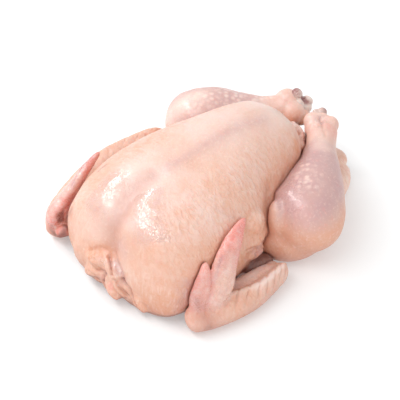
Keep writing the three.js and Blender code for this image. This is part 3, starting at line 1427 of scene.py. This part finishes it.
    @property
    def folds(self) -> list[Limb]:
        """Works out the folds of loose neck skin.

        Returns:
            The folds, from the bird's left to its right.
        """
        return [
            Limb(
                spine=(top, middle, foot),
                girth=((half * 0.45, 4), (half, 8), (half * 1.15, 9)),
                facing=(-1.0, 0.0, 0.0),
                rounding=(0.3, 0.2),
            )
            for top, middle, foot, half in self.neck
        ]

    @property
    def rolls(self) -> list[Limb]:
        """The small rolls of skin over the neck's folds."""
        return [Limb(spine=spine, girth=girth) for spine, girth in self.roll_shapes]

    @property
    def pads(self) -> list[Limb]:
        """The loose skin between the right wing and the leg, its lowest pad first."""
        return [Limb(spine=spine, girth=girth, rounding=(0.4, 0.4)) for spine, girth in self.pad_shapes]

    def forms(self) -> list[Form]:
        """The forms that it is made of."""
        loose = [*self.folds, *self.rolls, *self.pads, *self.groins]
        return [self.trunk, self.rump, self.tail, self.flank, *loose]

    def openings(self) -> list[Form]:
        """The mouth of the empty body."""
        return [self.mouth]

    def additions(self) -> list[Form]:
        """The torn edge of skin behind the end of the breast."""
        return [self.skirt, self.flap]

    def fine(self) -> list[Lump]:
        """The forms whose skin is modelled in finer detail."""
        return [*self.rolls, *self.folds, *self.pads[1:], self.flap]

    def model(self, clay: Clay) -> None:
        """Turns the fused forms into soft flesh.

        Args:
            clay: The piece's points.
        """
        for groin in self.groins:
            clay.join(self.rump, groin, 9.0, 6)
        clay.relax(0.9 * clay.near([*self.rolls, *self.folds], 8.0), 14, keep=0.8)
        clay.relax(0.9 * clay.near(self.pads, 14.0), 30, keep=0.6)
        beside = Stroke(self.beside_leg, 1.0, 10.0, 0.0).over(clay.points)
        clay.relax(np.clip(beside, 0.0, 0.9), 50, keep=0.3)
        clay.raise_by(self.leg_hollow.over(clay.points))
        clay.raise_by(laid(self.strokes, clay.points))
        glazed = np.clip(laid(self.glaze, clay.points), 0.0, 1.0)
        clay.raise_by(glazed * (0.16 * ripple(clay.points, 9.0, 51) + 0.14 * ripple(clay.points, 4.0, 52)))
        rough = laid(self.lumpy, clay.points)
        small = ripple(clay.points, 4.0, 11) + 0.5 * ripple(clay.points, 2.2, 19)
        broad = ripple(clay.points, 24.0, 5) * 0.5 + ripple(clay.points, 11.0, 6) * 0.25
        clay.raise_by(broad + small * (0.06 + 0.5 * rough))
        torn = clay.near([self.flap], 3.0)
        clay.raise_by(torn * ripple(clay.points, 2.4, 12) * 0.9)

    def colour(self, clay: Clay) -> dict[str, np.ndarray]:
        """How much of each tint lies on each point.

        Args:
            clay: The piece's points.

        Returns:
            The amounts under the names that the finish reads.
        """
        points = clay.points
        x, y, z = points.T
        neck = clay.near([*self.folds, *self.rolls], 6.0)
        gap, _ = self.mouth.outside(points)
        # Painted shade: faces turned sideways and down are painted more orange.
        low = ramp(clay.normals()[:, 2], 0.85, 0.3)
        torn = clay.near([self.flap, self.skirt], 3.0)
        # Painted light: the flank, which faces away from the lamps, is painted paler and gets less painted
        # shade.
        lit_flank = clay.near([self.flank], 4.0)
        # The inside of the body's mouth is its own dark red flesh under painted shade, and the gap under the
        # right wing's lowest pad is painted shade.
        inside = ramp(gap, 2.4, 0.6) * ramp(x, 104.0, 112.0)
        under_wing_shade = clay.near(self.pads[:1], 3.0) * ramp(z, 30.0, 24.0)
        # Painted shade in hollow places and along the modelled grooves.
        groove_shade = np.clip(clay.hollowness() * 1.5 - 0.12, 0.0, 1.0)
        groove_shade += 0.22 * np.clip(-laid(self.strokes, points), 0.0, 2.5)
        return {
            "mauve": laid(self.mauve, points) * (1 - torn),
            "orange": 0.1 * neck + 0.3 * torn + laid(self.pink, points) + 0.42 * low,
            "wet": laid(self.glaze, points) + 0.5 * clay.near([self.flap], 3.0),
            # Pale: the torn flap's own tone, painted highlights on the neck's folds, the palest skin and
            # painted light on the flank.
            "pale": 0.7 * clay.near([self.flap], 2.0) * (0.5 + 0.5 * ripple(points, 2.5, 13))
            + laid(self.glints, points) * ramp(ripple(points, 2.4, 61), -0.2, 0.4)
            + laid(self.cream, points)
            + 0.9 * lit_flank,
            "rosy": laid(self.flush, points),
            "pores": ramp(np.abs(y), 12.0, 45.0) * (1 - 0.6 * neck),
            "deep": inside + 0.75 * under_wing_shade,
            "net": ramp(z, 62.0, 36.0) * ramp(x, 0.0, -30.0) * (1 - 0.5 * neck),
            # Painted shade in creases, along the dark lines and near the table.
            "painted_shade": groove_shade + laid(self.line_shade, points) + 0.95 * self.shade(clay) * (1 - 0.8 * lit_flank),
        }


@dataclass
class Leg(Flesh):
    """A drumstick on its thigh, with the skin of the hock.

    The strokes are creases, raised dots, wet sheen, yellow fat, painted light and salmon patches. The
    blush is how blue the top of the leg is.
    """

    voxel: float = 1.15
    shin: Stations = ()
    shin_girth: Stations = ()
    thigh: Stations = ()
    thigh_girth: Stations = ((28, 26), (30, 26), (26, 22), (16, 15))
    cheek: tuple[Limb, ...] = ()
    knuckles: tuple[Knob, ...] = ()
    socket: tuple[Knob, ...] = ()
    creases: tuple[Stroke, ...] = ()
    dots: tuple[Stroke, ...] = ()
    sheen: tuple[Stroke, ...] = ()
    fat: tuple[Stroke, ...] = ()
    # Painted light: patches painted paler where more light falls on the leg.
    light: tuple[Stroke, ...] = ()
    salmon: tuple[Stroke, ...] = ()
    blush: float = 0.9

    @property
    def drumstick(self) -> Limb:
        """The meat of the shin, from the knee to the hock."""
        return Limb(spine=self.shin, girth=self.shin_girth, rounding=(0.24, 0.08), around=72, along=72)

    @property
    def upper_leg(self) -> Limb:
        """The thigh, under and beside the shin."""
        return Limb(spine=self.thigh, girth=self.thigh_girth, rounding=(0.35, 0.35))

    def forms(self) -> list[Form]:
        """The forms that it is made of."""
        return [self.drumstick, self.upper_leg, *self.cheek, *self.knuckles]

    def openings(self) -> list[Form]:
        """The cut end of the skin, from which the bone stands out."""
        return list(self.socket)

    def fine(self) -> list[Lump]:
        """The forms whose skin is modelled in finer detail."""
        return list(self.knuckles)

    def model(self, clay: Clay) -> None:
        """Turns the fused forms into soft flesh.

        Args:
            clay: The piece's points.
        """
        clay.join(self.drumstick, self.upper_leg, 9.0, 30)
        if self.cheek:
            clay.relax(0.9 * clay.near(list(self.cheek), 12.0), 24, keep=0.7)
        for knuckle in self.knuckles:
            clay.join(self.drumstick, knuckle, 5.0, 8)
        clay.raise_by(laid(self.creases, clay.points))
        broad = ripple(clay.points, 20.0, 15) * 0.45 + ripple(clay.points, 9.0, 16) * 0.2
        clay.raise_by(broad + 0.1 * ripple(clay.points, 4.0, 17))

    def colour(self, clay: Clay) -> dict[str, np.ndarray]:
        """How much of each tint lies on each point.

        Args:
            clay: The piece's points.

        Returns:
            The amounts under the names that the finish reads.
        """
        points = clay.points
        shin = clay.near([self.drumstick], 5.0)
        high = ramp(points[:, 2] + 6.0 * ripple(points, 30.0, 18), 42.0, 66.0)
        _, along = self.drumstick.outside(points)
        along = along + 0.08 * ripple(points, 9.0, 44)
        fat = laid(self.fat, points)
        skin = np.maximum(shin, 0.6 * clay.near(list(self.knuckles), 6.0))
        blotch = 0.5 + 0.5 * ripple(points, 5.0, 45)
        return {
            "mauve": self.blush * skin * high * (1.0 - 0.75 * ramp(along, 0.55, 0.86)) - fat,
            "orange": 0.75 * (1 - high) * ramp(points[:, 2], 0.0, 25.0) + fat,
            "goose": laid(self.dots, points),
            "pale": laid(self.light, points) + 0.35 * ramp(along, 0.6, 0.85) * (1 - 0.7 * blotch),
            "rosy": laid(self.salmon, points) + 0.22 * ramp(along, 0.7, 0.95) * blotch,
            "pores": 0.4 * (1 - high),
            "wet": laid(self.sheen, points) + 0.15 * shin,
            # Painted shade in hollow places, in the creases and near the table.
            "painted_shade": np.clip(clay.hollowness() * 1.3 - 0.1, 0.0, 1.0)
            + 0.3 * np.clip(-laid(self.creases, points), 0.0, 2.0)
            + 0.6 * self.shade(clay),
        }


@dataclass
class Wing(Flesh):
    """A wing folded under the shoulder, with its tip standing up beside the breast.

    The strokes are creases, veins, yellow fat, wet sheen, painted shade, painted light and salmon
    patches. The crest and the depth of the pleats are in millimetres.
    """

    voxel: float = 0.82
    side: Side = Side.RIGHT
    upper_arm: Stations = ()
    forearm_line: Stations = ()
    forearm_girth: Stations = ((9, 11), (11, 12.5), (12, 13), (12, 14))
    crest: float = 2.4
    depth: float = 2.1
    hand: Stations = ()
    hand_girth: Stations = ((11, 10), (11, 8), (11, 6), (7.8, 4.5), (2.2, 2.0))
    thumb: Stations = ()
    thumb_girth: Stations = ((11, 10), (8.5, 7.5), (5.8, 5), (2.4, 2.4))
    web: Stations = ()
    web_girth: Stations = ((7, 5), (8, 5.5), (8, 5.5), (6, 5))
    extra: tuple[Limb, ...] = ()
    flush: float = 0.8
    creases: tuple[Stroke, ...] = ()
    veins: tuple[Stroke, ...] = ()
    fat: tuple[Stroke, ...] = ()
    sheen: tuple[Stroke, ...] = ()
    # Painted shade in hollow places and gaps.
    hollow_shade: tuple[Stroke, ...] = ()
    # Painted light on ridges and tops.
    light: tuple[Stroke, ...] = ()
    salmon: tuple[Stroke, ...] = ()

    @property
    def outward(self) -> Point:
        """The direction that the flat of the wing tip faces."""
        return (-0.3, 0.85 * self.side.value, 0.42)

    @property
    def forearm(self) -> Forearm:
        """Works out the forearm.

        Returns:
            The forearm, from the elbow to the heel of the hand.
        """
        return Forearm(
            spine=self.forearm_line,
            girth=self.forearm_girth,
            facing=(0.0, 0.25 * self.side.value, 1.0),
            rounding=(0.1, 0.16),
            crest=self.crest,
            around=96,
            along=120,
        )

    @property
    def blade(self) -> Limb:
        """The long flat tip of the wing."""
        return Limb(
            spine=self.hand, girth=self.hand_girth, facing=self.outward, rounding=(0.2, 0.05), along=64
        )

    @property
    def thumb_blade(self) -> Limb:
        """The short tip beside the long one."""
        return Limb(spine=self.thumb, girth=self.thumb_girth, facing=self.outward, rounding=(0.3, 0.08))

    def forms(self) -> list[Form]:
        """Gathers the forms of the wing.

        Returns:
            Upper arm, forearm, both tips and the skin between them.
        """
        arm = Limb(spine=self.upper_arm, girth=((16, 14), (12, 11), (10, 9)), rounding=(0.3, 0.2))
        web = Limb(spine=self.web, girth=self.web_girth, rounding=(0.15, 0.2))
        return [arm, self.forearm, self.blade, self.thumb_blade, web, *self.extra]

    def model(self, clay: Clay) -> None:
        """Turns the fused forms into soft flesh.

        Args:
            clay: The piece's points.
        """
        clay.join(self.forearm, self.blade, 5.0, 6)
        clay.join(self.forearm, self.thumb_blade, 6.0, 10)
        clay.join(self.blade, self.thumb_blade, 1.8, 2)
        clay.raise_by(laid(self.creases, clay.points) - self.depth * self.pleated(clay))
        tips = clay.near([self.blade, self.thumb_blade], 3.0)
        fine = ripple(clay.points, 2.6, 26) * (0.08 + 0.2 * tips)
        clay.raise_by(ripple(clay.points, 12.0, 25) * 0.3 + fine)

    def pleated(self, clay: Clay) -> np.ndarray:
        """How deep each point lies between two quill rows, from 0 to 1."""
        tips = clay.near([self.blade, self.thumb_blade], 2.0)
        return self.forearm.pleat(clay.points) * clay.near([self.forearm], 5.0) * (1 - tips)

    def colour(self, clay: Clay) -> dict[str, np.ndarray]:
        """How much of each tint lies on each point.

        Args:
            clay: The piece's points.

        Returns:
            The amounts under the names that the finish reads.
        """
        points = clay.points
        rosy = np.zeros(len(points))
        for blade, base, tip in ((self.blade, 0.12, 1.0), (self.thumb_blade, 0.5, 0.7)):
            gap, share = blade.outside(points)
            _, angle = blade.locate(points)
            edge = np.abs(np.cos(angle)) ** 2
            tint = base + (tip - base) * ramp(share, 0.32, 0.85) + 0.2 * edge * ramp(share, 0.3, 0.6)
            rosy = np.maximum(rosy, ramp(gap, 3.5, 0.5) * tint)
        tips = clay.near([self.blade, self.thumb_blade], 3.0)
        web = Limb(spine=self.web, girth=self.web_girth)
        heel = Stroke((self.thumb[0],), 0.5, 19.0).over(points)
        wet = laid(self.sheen, points)
        # Painted highlights: bright specks on the wet strokes and on the tips.
        glints = np.clip(wet + 0.12 * tips, 0.0, 1.0) * ramp(ripple(points, 2.0, 63), 0.1, 0.55)
        return {
            "rosy": rosy * self.flush + 0.9 * heel + laid(self.salmon, points),
            "orange": 0.32 * clay.near([self.forearm], 3.0) * (1 - tips) + laid(self.fat, points),
            "mauve": 0.3 * clay.near([web], 3.0) * (1 - tips),
            "violet": laid(self.veins, points),
            "goose": 0.4 * tips + heel,
            "pale": laid(self.light, points) + 0.7 * glints,
            "pores": 0.8 * clay.near([self.forearm], 3.0),
            "wet": 0.5 * tips + wet,
            # Painted shade in hollow places, between the pleats, near the table and along the shade strokes.
            "painted_shade": np.clip(clay.hollowness() * 1.2 - 0.15, 0.0, 0.6)
            + 0.12 * self.depth * self.pleated(clay)
            + 0.6 * self.shade(clay)
            + laid(self.hollow_shade, points),
        }


@dataclass
class HockBone(Flesh):
    """The gristly end of a leg bone."""

    voxel: float = 0.6
    knobs: tuple[Knob, ...] = ()
    bruises: tuple[Stroke, ...] = ()
    creases: tuple[Stroke, ...] = ()

    def forms(self) -> list[Form]:
        """The forms that it is made of."""
        return list(self.knobs)

    def model(self, clay: Clay) -> None:
        """Joins the knobs and cuts the grooves between them."""
        clay.relax(1.0, 3, keep=0.3)
        clay.raise_by(laid(self.creases, clay.points) + 0.4 * ripple(clay.points, 4.0, 31))

    def colour(self, clay: Clay) -> dict[str, np.ndarray]:
        """How bruised each point is."""
        return {"bruise": laid(self.bruises, clay.points)}

    def finish(self) -> bpy.types.Material:
        """The material of the piece."""
        return bpy.data.materials.get("wet_gristle") or WetGristle().make()


RIGHT_CREST: Stations = ((-36, -86, 26), (-29, -95, 28), (-20, -101, 28), (-9, -98, 30), (3, -99, 29))
LEFT_VEIN: Stations = ((-37, 85, 68), (-49, 86, 64), (-64, 83, 57), (-70, 82, 52))
RIGHT_LEG = Leg(
    name="right_leg_skin",
    shin=((27, -76, 26), (55, -77, 38), (79, -67, 47), (103, -52, 51), (125, -35, 53), (146, -19, 57)),
    shin_girth=((28, 28), (36, 35), (29, 29), (20, 20), (14, 13.5), (15, 13)),
    thigh=((14, -60, 22), (58, -70, 22), (100, -54, 20), (130, -30, 16)),
    knuckles=(
        Knob(at=(141.1, -11.8, 59), radius=8.8),
        Knob(at=(146.3, -17, 59), radius=8.4),
        Knob(at=(148.5, -25.5, 58.8), radius=8.2),
        Knob(at=(141.4, -8.3, 62), radius=4.4),
        Knob(at=(137, -18, 55), radius=10),
    ),
    creases=(
        Stroke(((149, -18, 69), (143, -19, 68), (137, -25, 66), (131, -29, 62)), -1.1, 2.6),
        Stroke(((145, -18, 66), (141, -20, 65), (136, -27, 67), (130, -34, 66), (125, -42, 66)), -0.8, 1.3),
        Stroke(((131, -19, 64), (131, -24, 66), (133, -26, 66)), -0.7, 1.1),
    ),
    dots=(Stroke(((75, -58, 72), (69, -69, 75), (60, -74, 75)), 1.0, 13.0, 0.0),),
    sheen=(
        Stroke(((52, -61, 69), (45, -68, 70), (39, -71, 67), (35, -72, 61)), 1.3, 5.0, 0.05),
        Stroke(((62, -62, 72), (40, -78, 68), (33, -84, 60)), 0.6, 9.0),
        Stroke(((145, -18, 68), (141, -20, 67), (136, -27, 67)), 0.8, 3.5),
    ),
    salmon=(
        Stroke(((144, -29, 66), (138, -36, 64), (129, -41, 64)), 0.3, 6.0),
        Stroke(((34, -83, 61), (38, -91, 62), (43, -99, 60)), 0.12, 10.0),
    ),
    light=(Stroke(((110, -47, 69), (118, -41, 68)), 0.3, 8.0, 0.0),),
    cheek=(
        Limb(
            spine=((35.9, -63.3, 63.6), (32.6, -67.4, 53.4), (29, -70.2, 42.4), (24.9, -69.8, 32)),
            girth=((6, 6), (8, 8), (8.5, 8.5), (7, 7)),
            rounding=(0.3, 0.3),
        ),
    ),
)
LEFT_LEG = Leg(
    name="left_leg_skin",
    shin=((46, 72, 31), (73, 71, 43), (93, 62, 50), (110, 49, 53), (130, 34, 54), (148, 21, 56)),
    shin_girth=((26, 27), (34, 35), (29, 29), (19, 20), (12, 12.5), (13, 13)),
    thigh=((30, 58, 22), (70, 66, 24), (102, 50, 22), (126, 30, 18)),
    knuckles=(
        Knob(at=(147, 26, 59), radius=11.5),
        Knob(at=(144, 17, 53), radius=12.5),
        Knob(at=(150, 11, 48), radius=9),
    ),
    socket=(
        Knob(at=(163, 17, 62), radius=14),
        Knob(at=(161.9, 12.6, 57.7), radius=13),
        Knob(at=(155.7, 16.6, 69.5), radius=10.4),
    ),
    dots=(Stroke(((66, 70, 78), (92, 59, 76), (112, 45, 70), (136, 30, 64)), 1.0, 15.0, 0.0),),
    sheen=(Stroke(((50, 78, 60), (60, 78, 74), (78, 70, 78)), 0.25, 12.0, 0.05),),
    fat=(Stroke(((139, 6, 54), (141, 2, 49), (147, 2, 46)), 0.8, 8.0, 0.0),),
    light=(Stroke(((52, 89, 54), (54, 82, 66), (62, 77, 75), (74, 72, 78)), 0.85, 12.0, 0.0),),
    salmon=(Stroke(((139, 6, 54), (139, 1, 50)), 0.3, 6.0),),
    blush=0.75,
)
RIGHT_WING = Wing(
    name="right_wing_skin",
    side=Side.RIGHT,
    upper_arm=((-50, -50, 20), (-10, -70, 10), (18, -86, 10)),
    forearm_line=((18, -92, 16), (-28, -95, 14), (-64, -86, 14), (-85, -74, 15)),
    hand=((-72, -80, 16), (-55, -85, 38), (-47, -82, 54), (-31, -77, 70), (-11, -70, 77)),
    thumb=((-73, -77, 18), (-71, -79, 39), (-65, -77, 53), (-60, -73, 62)),
    web=((-45, -80, 19), (-22, -85, 20), (-3, -88, 20), (10, -92, 18)),
    veins=(Stroke(((-47, -81, 67), (-52, -82, 61), (-58, -84, 54), (-62, -83, 46)), 0.35, 1.8),),
    creases=(
        Stroke(((-46, -80, 68), (-53, -83, 60), (-61, -85, 50)), -0.9, 1.8),
        Stroke(((-30, -80, 74), (-38, -86, 66), (-50, -90, 52)), 0.9, 2.6),
    ),
    sheen=(
        Stroke(((-66, -76, 60), (-70, -76, 55), (-75, -76, 49), (-79, -76, 40), (-80, -74, 29)), 0.9, 4.0),
    ),
    # Painted light on the crest tops, along the ridge of the blade and on the web.
    light=(
        Stroke(RIGHT_CREST, 0.5, 4.0),
        Stroke(((-39, -85, 66), (-46, -87, 59), (-53, -90, 50)), 0.4, 3.5),
        Stroke(((-20, -86, 25), (4, -90, 25)), 0.25, 7.0, 0.0),
    ),
    crest=4.0,
    # Painted shade; the strokes with a negative amount take it off the crest.
    hollow_shade=(
        Stroke(((-34, -84, 24), (-21, -89, 24), (-9, -94, 27), (3, -95, 26), (10, -95, 24)), -0.4, 5.0),
        Stroke(RIGHT_CREST, -1.0, 3.5),
        Stroke(((-40, -83, 68), (-48, -84, 60)), 0.4, 7.0, 0.0),
        Stroke(((-80, -84, 34), (-79, -86, 26), (-74, -90, 16)), 0.65, 8.0, 0.0),
        Stroke(((-73, -80, 50), (-76, -80, 40)), 0.35, 6.0, 0.0),
        Stroke(((-39, -105, 16), (-10, -103, 14)), 0.2, 7.0, 0.0),
    ),
    salmon=(
        Stroke(((-19, -72, 78), (-27, -74, 78), (-36, -76, 75), (-45, -76, 69)), 0.3, 3.0),
        Stroke(((-66, -76, 60), (-75, -76, 49), (-80, -74, 29)), 0.1, 5.0),
    ),
    flush=0.95,
)
LEFT_WING = Wing(
    name="left_wing_skin",
    side=Side.LEFT,
    upper_arm=((-50, 50, 20), (0, 80, 18), (54, 94, 24)),
    forearm_line=((60, 98, 28), (-6, 108, 25), (-70, 95, 17), (-91, 79, 12)),
    forearm_girth=((9, 12), (12, 14), (12, 14), (12, 14)),
    crest=1.0,
    depth=0.5,
    hand=((-86, 83, 17), (-78, 87, 32), (-63, 87, 45), (-50, 86, 57), (-32, 86, 68)),
    thumb=((-91, 84, 20), (-86, 86, 31), (-76, 84, 39), (-65, 83, 44)),
    web=((-70, 85, 18), (-30, 95, 22), (10, 98, 25), (45, 95, 26)),
    extra=(Limb(spine=((-94, 78, 16), (-84, 70, 20)), girth=((5, 5), (6, 6))),),
    fat=(
        Stroke(((-94, 78, 14), (-84, 70, 18)), 1.2, 7.0, 0.0),
        Stroke(((-34, 84, 67), (-48, 82, 62)), 0.8, 6.0, 0.0),
        Stroke(((-36, 80, 64), (-52, 80, 54), (-66, 80, 44), (-80, 78, 34)), 0.5, 6.0),
    ),
    veins=(
        Stroke(((-64, 84, 55), (-70, 84, 48)), 0.2, 2.6),
        Stroke(LEFT_VEIN, 0.5, 1.4),
    ),
    # Painted shade along the blade's edge, in the gaps beside the body and at the wrist.
    hollow_shade=(
        Stroke(LEFT_VEIN, 0.3, 1.3),
        Stroke(((-67, 78, 49), (-76, 76, 43), (-85, 75, 34), (-89, 73, 25)), 0.65, 2.6),
        Stroke(((-89, 67, 36), (-89, 70, 23), (-92, 70, 18)), 0.9, 4.5, 0.0),
        Stroke(((-94, 85, 17), (-93, 81, 12), (-95, 73, 15)), 0.6, 5.0, 0.0),
        Stroke(((-92, 79, 28), (-93, 79, 20)), 0.3, 6.0, 0.0),
        Stroke(((-34, 84, 67), (-45, 82, 64)), 0.3, 6.0, 0.0),
    ),
    sheen=(Stroke(((-47, 84, 65), (-55, 83, 62), (-63, 82, 57), (-71, 82, 51), (-78, 83, 46)), 0.9, 2.4),),
    salmon=(
        Stroke(((-68, 78, 49), (-74, 79, 42), (-85, 79, 34), (-92, 79, 25)), 0.35, 6.0),
        Stroke(((-34, 84, 67), (-52, 81, 56), (-66, 80, 44), (-80, 78, 34)), 0.3, 6.0, 0.0),
        Stroke(((-92, 79, 28), (-93, 79, 20)), 0.4, 6.0, 0.0),
        Stroke(((-92, 70, 20), (-94, 73, 14)), 1.0, 5.0, 0.0),
    ),
    # Painted light on the top of the forearm and on the blade.
    light=(
        Stroke(((-20, 100, 48), (4, 106, 39), (20, 104, 39), (37, 101, 40)), 0.45, 7.0, 0.0),
        Stroke(((-56, 82, 61), (-68, 81, 52)), 0.3, 4.0),
    ),
    flush=0.72,
)
RIGHT_HOCK = HockBone(
    name="right_hock_bone",
    knobs=(
        Knob(at=(153.5, -11.5, 62.6), radius=4.7),
        Knob(at=(150.4, -7.7, 61.4), radius=4.2),
        Knob(at=(148, -12, 59), radius=6.5),
    ),
    bruises=(Stroke(((156, -13, 65),), 0.9, 4.5), Stroke(((149, -7, 64), (148, -13, 66)), 0.3, 5.0, 0.0)),
)
LEFT_HOCK = HockBone(
    name="left_hock_bone",
    knobs=(
        Knob(at=(153.5, 20, 66), radius=5.8),
        Knob(at=(156.6, 22.8, 62), radius=5.6),
        Knob(at=(160, 12.8, 58.1), radius=5.7),
        Knob(at=(156.9, 11, 54.3), radius=5.8),
        Knob(at=(150, 15, 60), radius=5.4),
        Knob(at=(150, 18, 55), radius=10.5),
    ),
    bruises=(
        Stroke(((150, 23, 70), (155, 22, 69)), 1.1, 6.0, 0.0),
        Stroke(((154, 19, 65), (157, 10, 60)), 1.0, 2.6, 0.0),
    ),
    creases=(Stroke(((154, 20, 66), (157, 10, 60)), -1.6, 2.0, 0.0),),
)


def tuck(pieces: list[Clay], reach: float = 1.5, darkness: float = 0.9, depth: float = 0.45) -> None:
    """Paints shade into the skin and sinks it along the lines where two pieces meet.

    Args:
        pieces: The modelled points of each piece.
        reach: Width of the sunk line, in millimetres.
        darkness: How strongly the painted shade lies on the line.
        depth: How deeply it is sunk, in millimetres.
    """
    far = STROKE_REACH * reach
    trees = [BVHTree.FromPolygons(clay.points.tolist(), clay.faces()) for clay in pieces]
    for index, clay in enumerate(pieces):
        gap = np.full(len(clay.points), far)
        for tree in trees[:index] + trees[index + 1 :]:
            found = (tree.find_nearest(point, far)[3] for point in clay.points.tolist())
            gap = np.minimum(gap, [far if span is None else span for span in found])
        line = bell(gap, reach)
        painted_shade = clay.mesh.attributes["painted_shade"].data
        old = np.zeros(len(clay.points), dtype=np.float32)
        painted_shade.foreach_get("value", old)
        painted_shade.foreach_set("value", np.maximum(old, darkness * line).astype(np.float32))
        clay.raise_by(-depth * line)
        clay.settle()
        clay.store()


# ---------------------------------------------------------------- studio


@dataclass(frozen=True)
class SoftBox:
    """A lamp with an even face, turned about its own axis and aimed at the middle of the bird.

    Lengths are in metres, the turn is in degrees and the power in watts.
    """

    name: str
    direction: Point
    distance: float
    width: float
    length: float
    power: float
    turn: float = 0.0
    target: Point = (0.0, 0.0, 0.05)

    def build(self) -> None:
        """Hangs the lamp."""
        data = bpy.data.lights.new(self.name, "AREA")
        data.shape = "RECTANGLE"
        data.size = self.length
        data.size_y = self.width
        data.energy = self.power
        lamp = bpy.data.objects.new(self.name, data)
        bpy.context.scene.collection.objects.link(lamp)
        towards = Vector(self.direction).normalized()
        lamp.location = Vector(self.target) + towards * self.distance
        spin = Quaternion((0.0, 0.0, 1.0), math.radians(self.turn))
        lamp.rotation_euler = (towards.to_track_quat("Z", "Y") @ spin).to_euler()


@dataclass(frozen=True)
class Studio:
    """Table, daylight and lamps round the bird."""

    span: float = 6.0
    daylight: float = 0.825
    lamps: tuple[SoftBox, ...] = (
        SoftBox("strip_lamp", (-0.42, 0.253, 0.865), 1.13, width=0.25, length=1.35, power=6.4, turn=21.0),
        SoftBox("side_lamp", (-0.06, 0.76, 0.64), 1.1, width=0.24, length=0.24, power=2.2),
        SoftBox("front_lamp", (-0.6, -0.7, 0.4), 1.2, width=1.2, length=1.2, power=1.7),
    )

    def build(self) -> None:
        """Sets up everything that isn't the bird."""
        work = bmesh.new()
        bmesh.ops.create_grid(work, x_segments=2, y_segments=2, size=self.span / 2)
        floor = placed("table_top", work)
        floor.data.materials.append(TableTop().make())
        world = bpy.data.worlds.new("daylight")
        world.use_nodes = True
        sky = world.node_tree.nodes["Background"]
        sky.inputs["Color"].default_value = WHITE
        sky.inputs["Strength"].default_value = self.daylight
        bpy.context.scene.world = world
        for lamp in self.lamps:
            lamp.build()
        bpy.context.scene.view_settings.view_transform = "Standard"
        LOG.info("studio: %d lamps", len(self.lamps))


@dataclass(frozen=True)
class Camera:
    """The view from above the bird's right shoulder.

    Angles are in degrees, the distance and the target in metres, the lens and the sensor in mm.
    """

    azimuth: float = -135.0
    height: float = 42.0
    distance: float = 1.2
    target: Point = (-0.0278, -0.0075, 0.045)
    lens: float = 124.2
    sensor: float = 36.0

    def build(self) -> None:
        """Sets up the camera."""
        data = bpy.data.cameras.new("view")
        data.lens = self.lens
        data.sensor_width = self.sensor
        camera = bpy.data.objects.new("view", data)
        bpy.context.scene.collection.objects.link(camera)
        turn, lift = math.radians(self.azimuth), math.radians(self.height)
        back = Vector((math.cos(turn) * math.cos(lift), math.sin(turn) * math.cos(lift), math.sin(lift)))
        camera.location = Vector(self.target) + back * self.distance
        camera.rotation_euler = back.to_track_quat("Z", "Y").to_euler()
        bpy.context.scene.camera = camera
        LOG.info("camera: %.0f mm lens", self.lens)


def main() -> None:
    """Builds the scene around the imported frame."""
    logging.basicConfig(level=logging.INFO, format="%(message)s")
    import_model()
    Camera().build()
    skin = [piece.build() for piece in (Carcass(), RIGHT_LEG, LEFT_LEG, RIGHT_WING, LEFT_WING)]
    tuck(skin)
    for bone in (RIGHT_HOCK, LEFT_HOCK):
        bone.build()
    Studio().build()


if __name__ == "__main__":
    main()
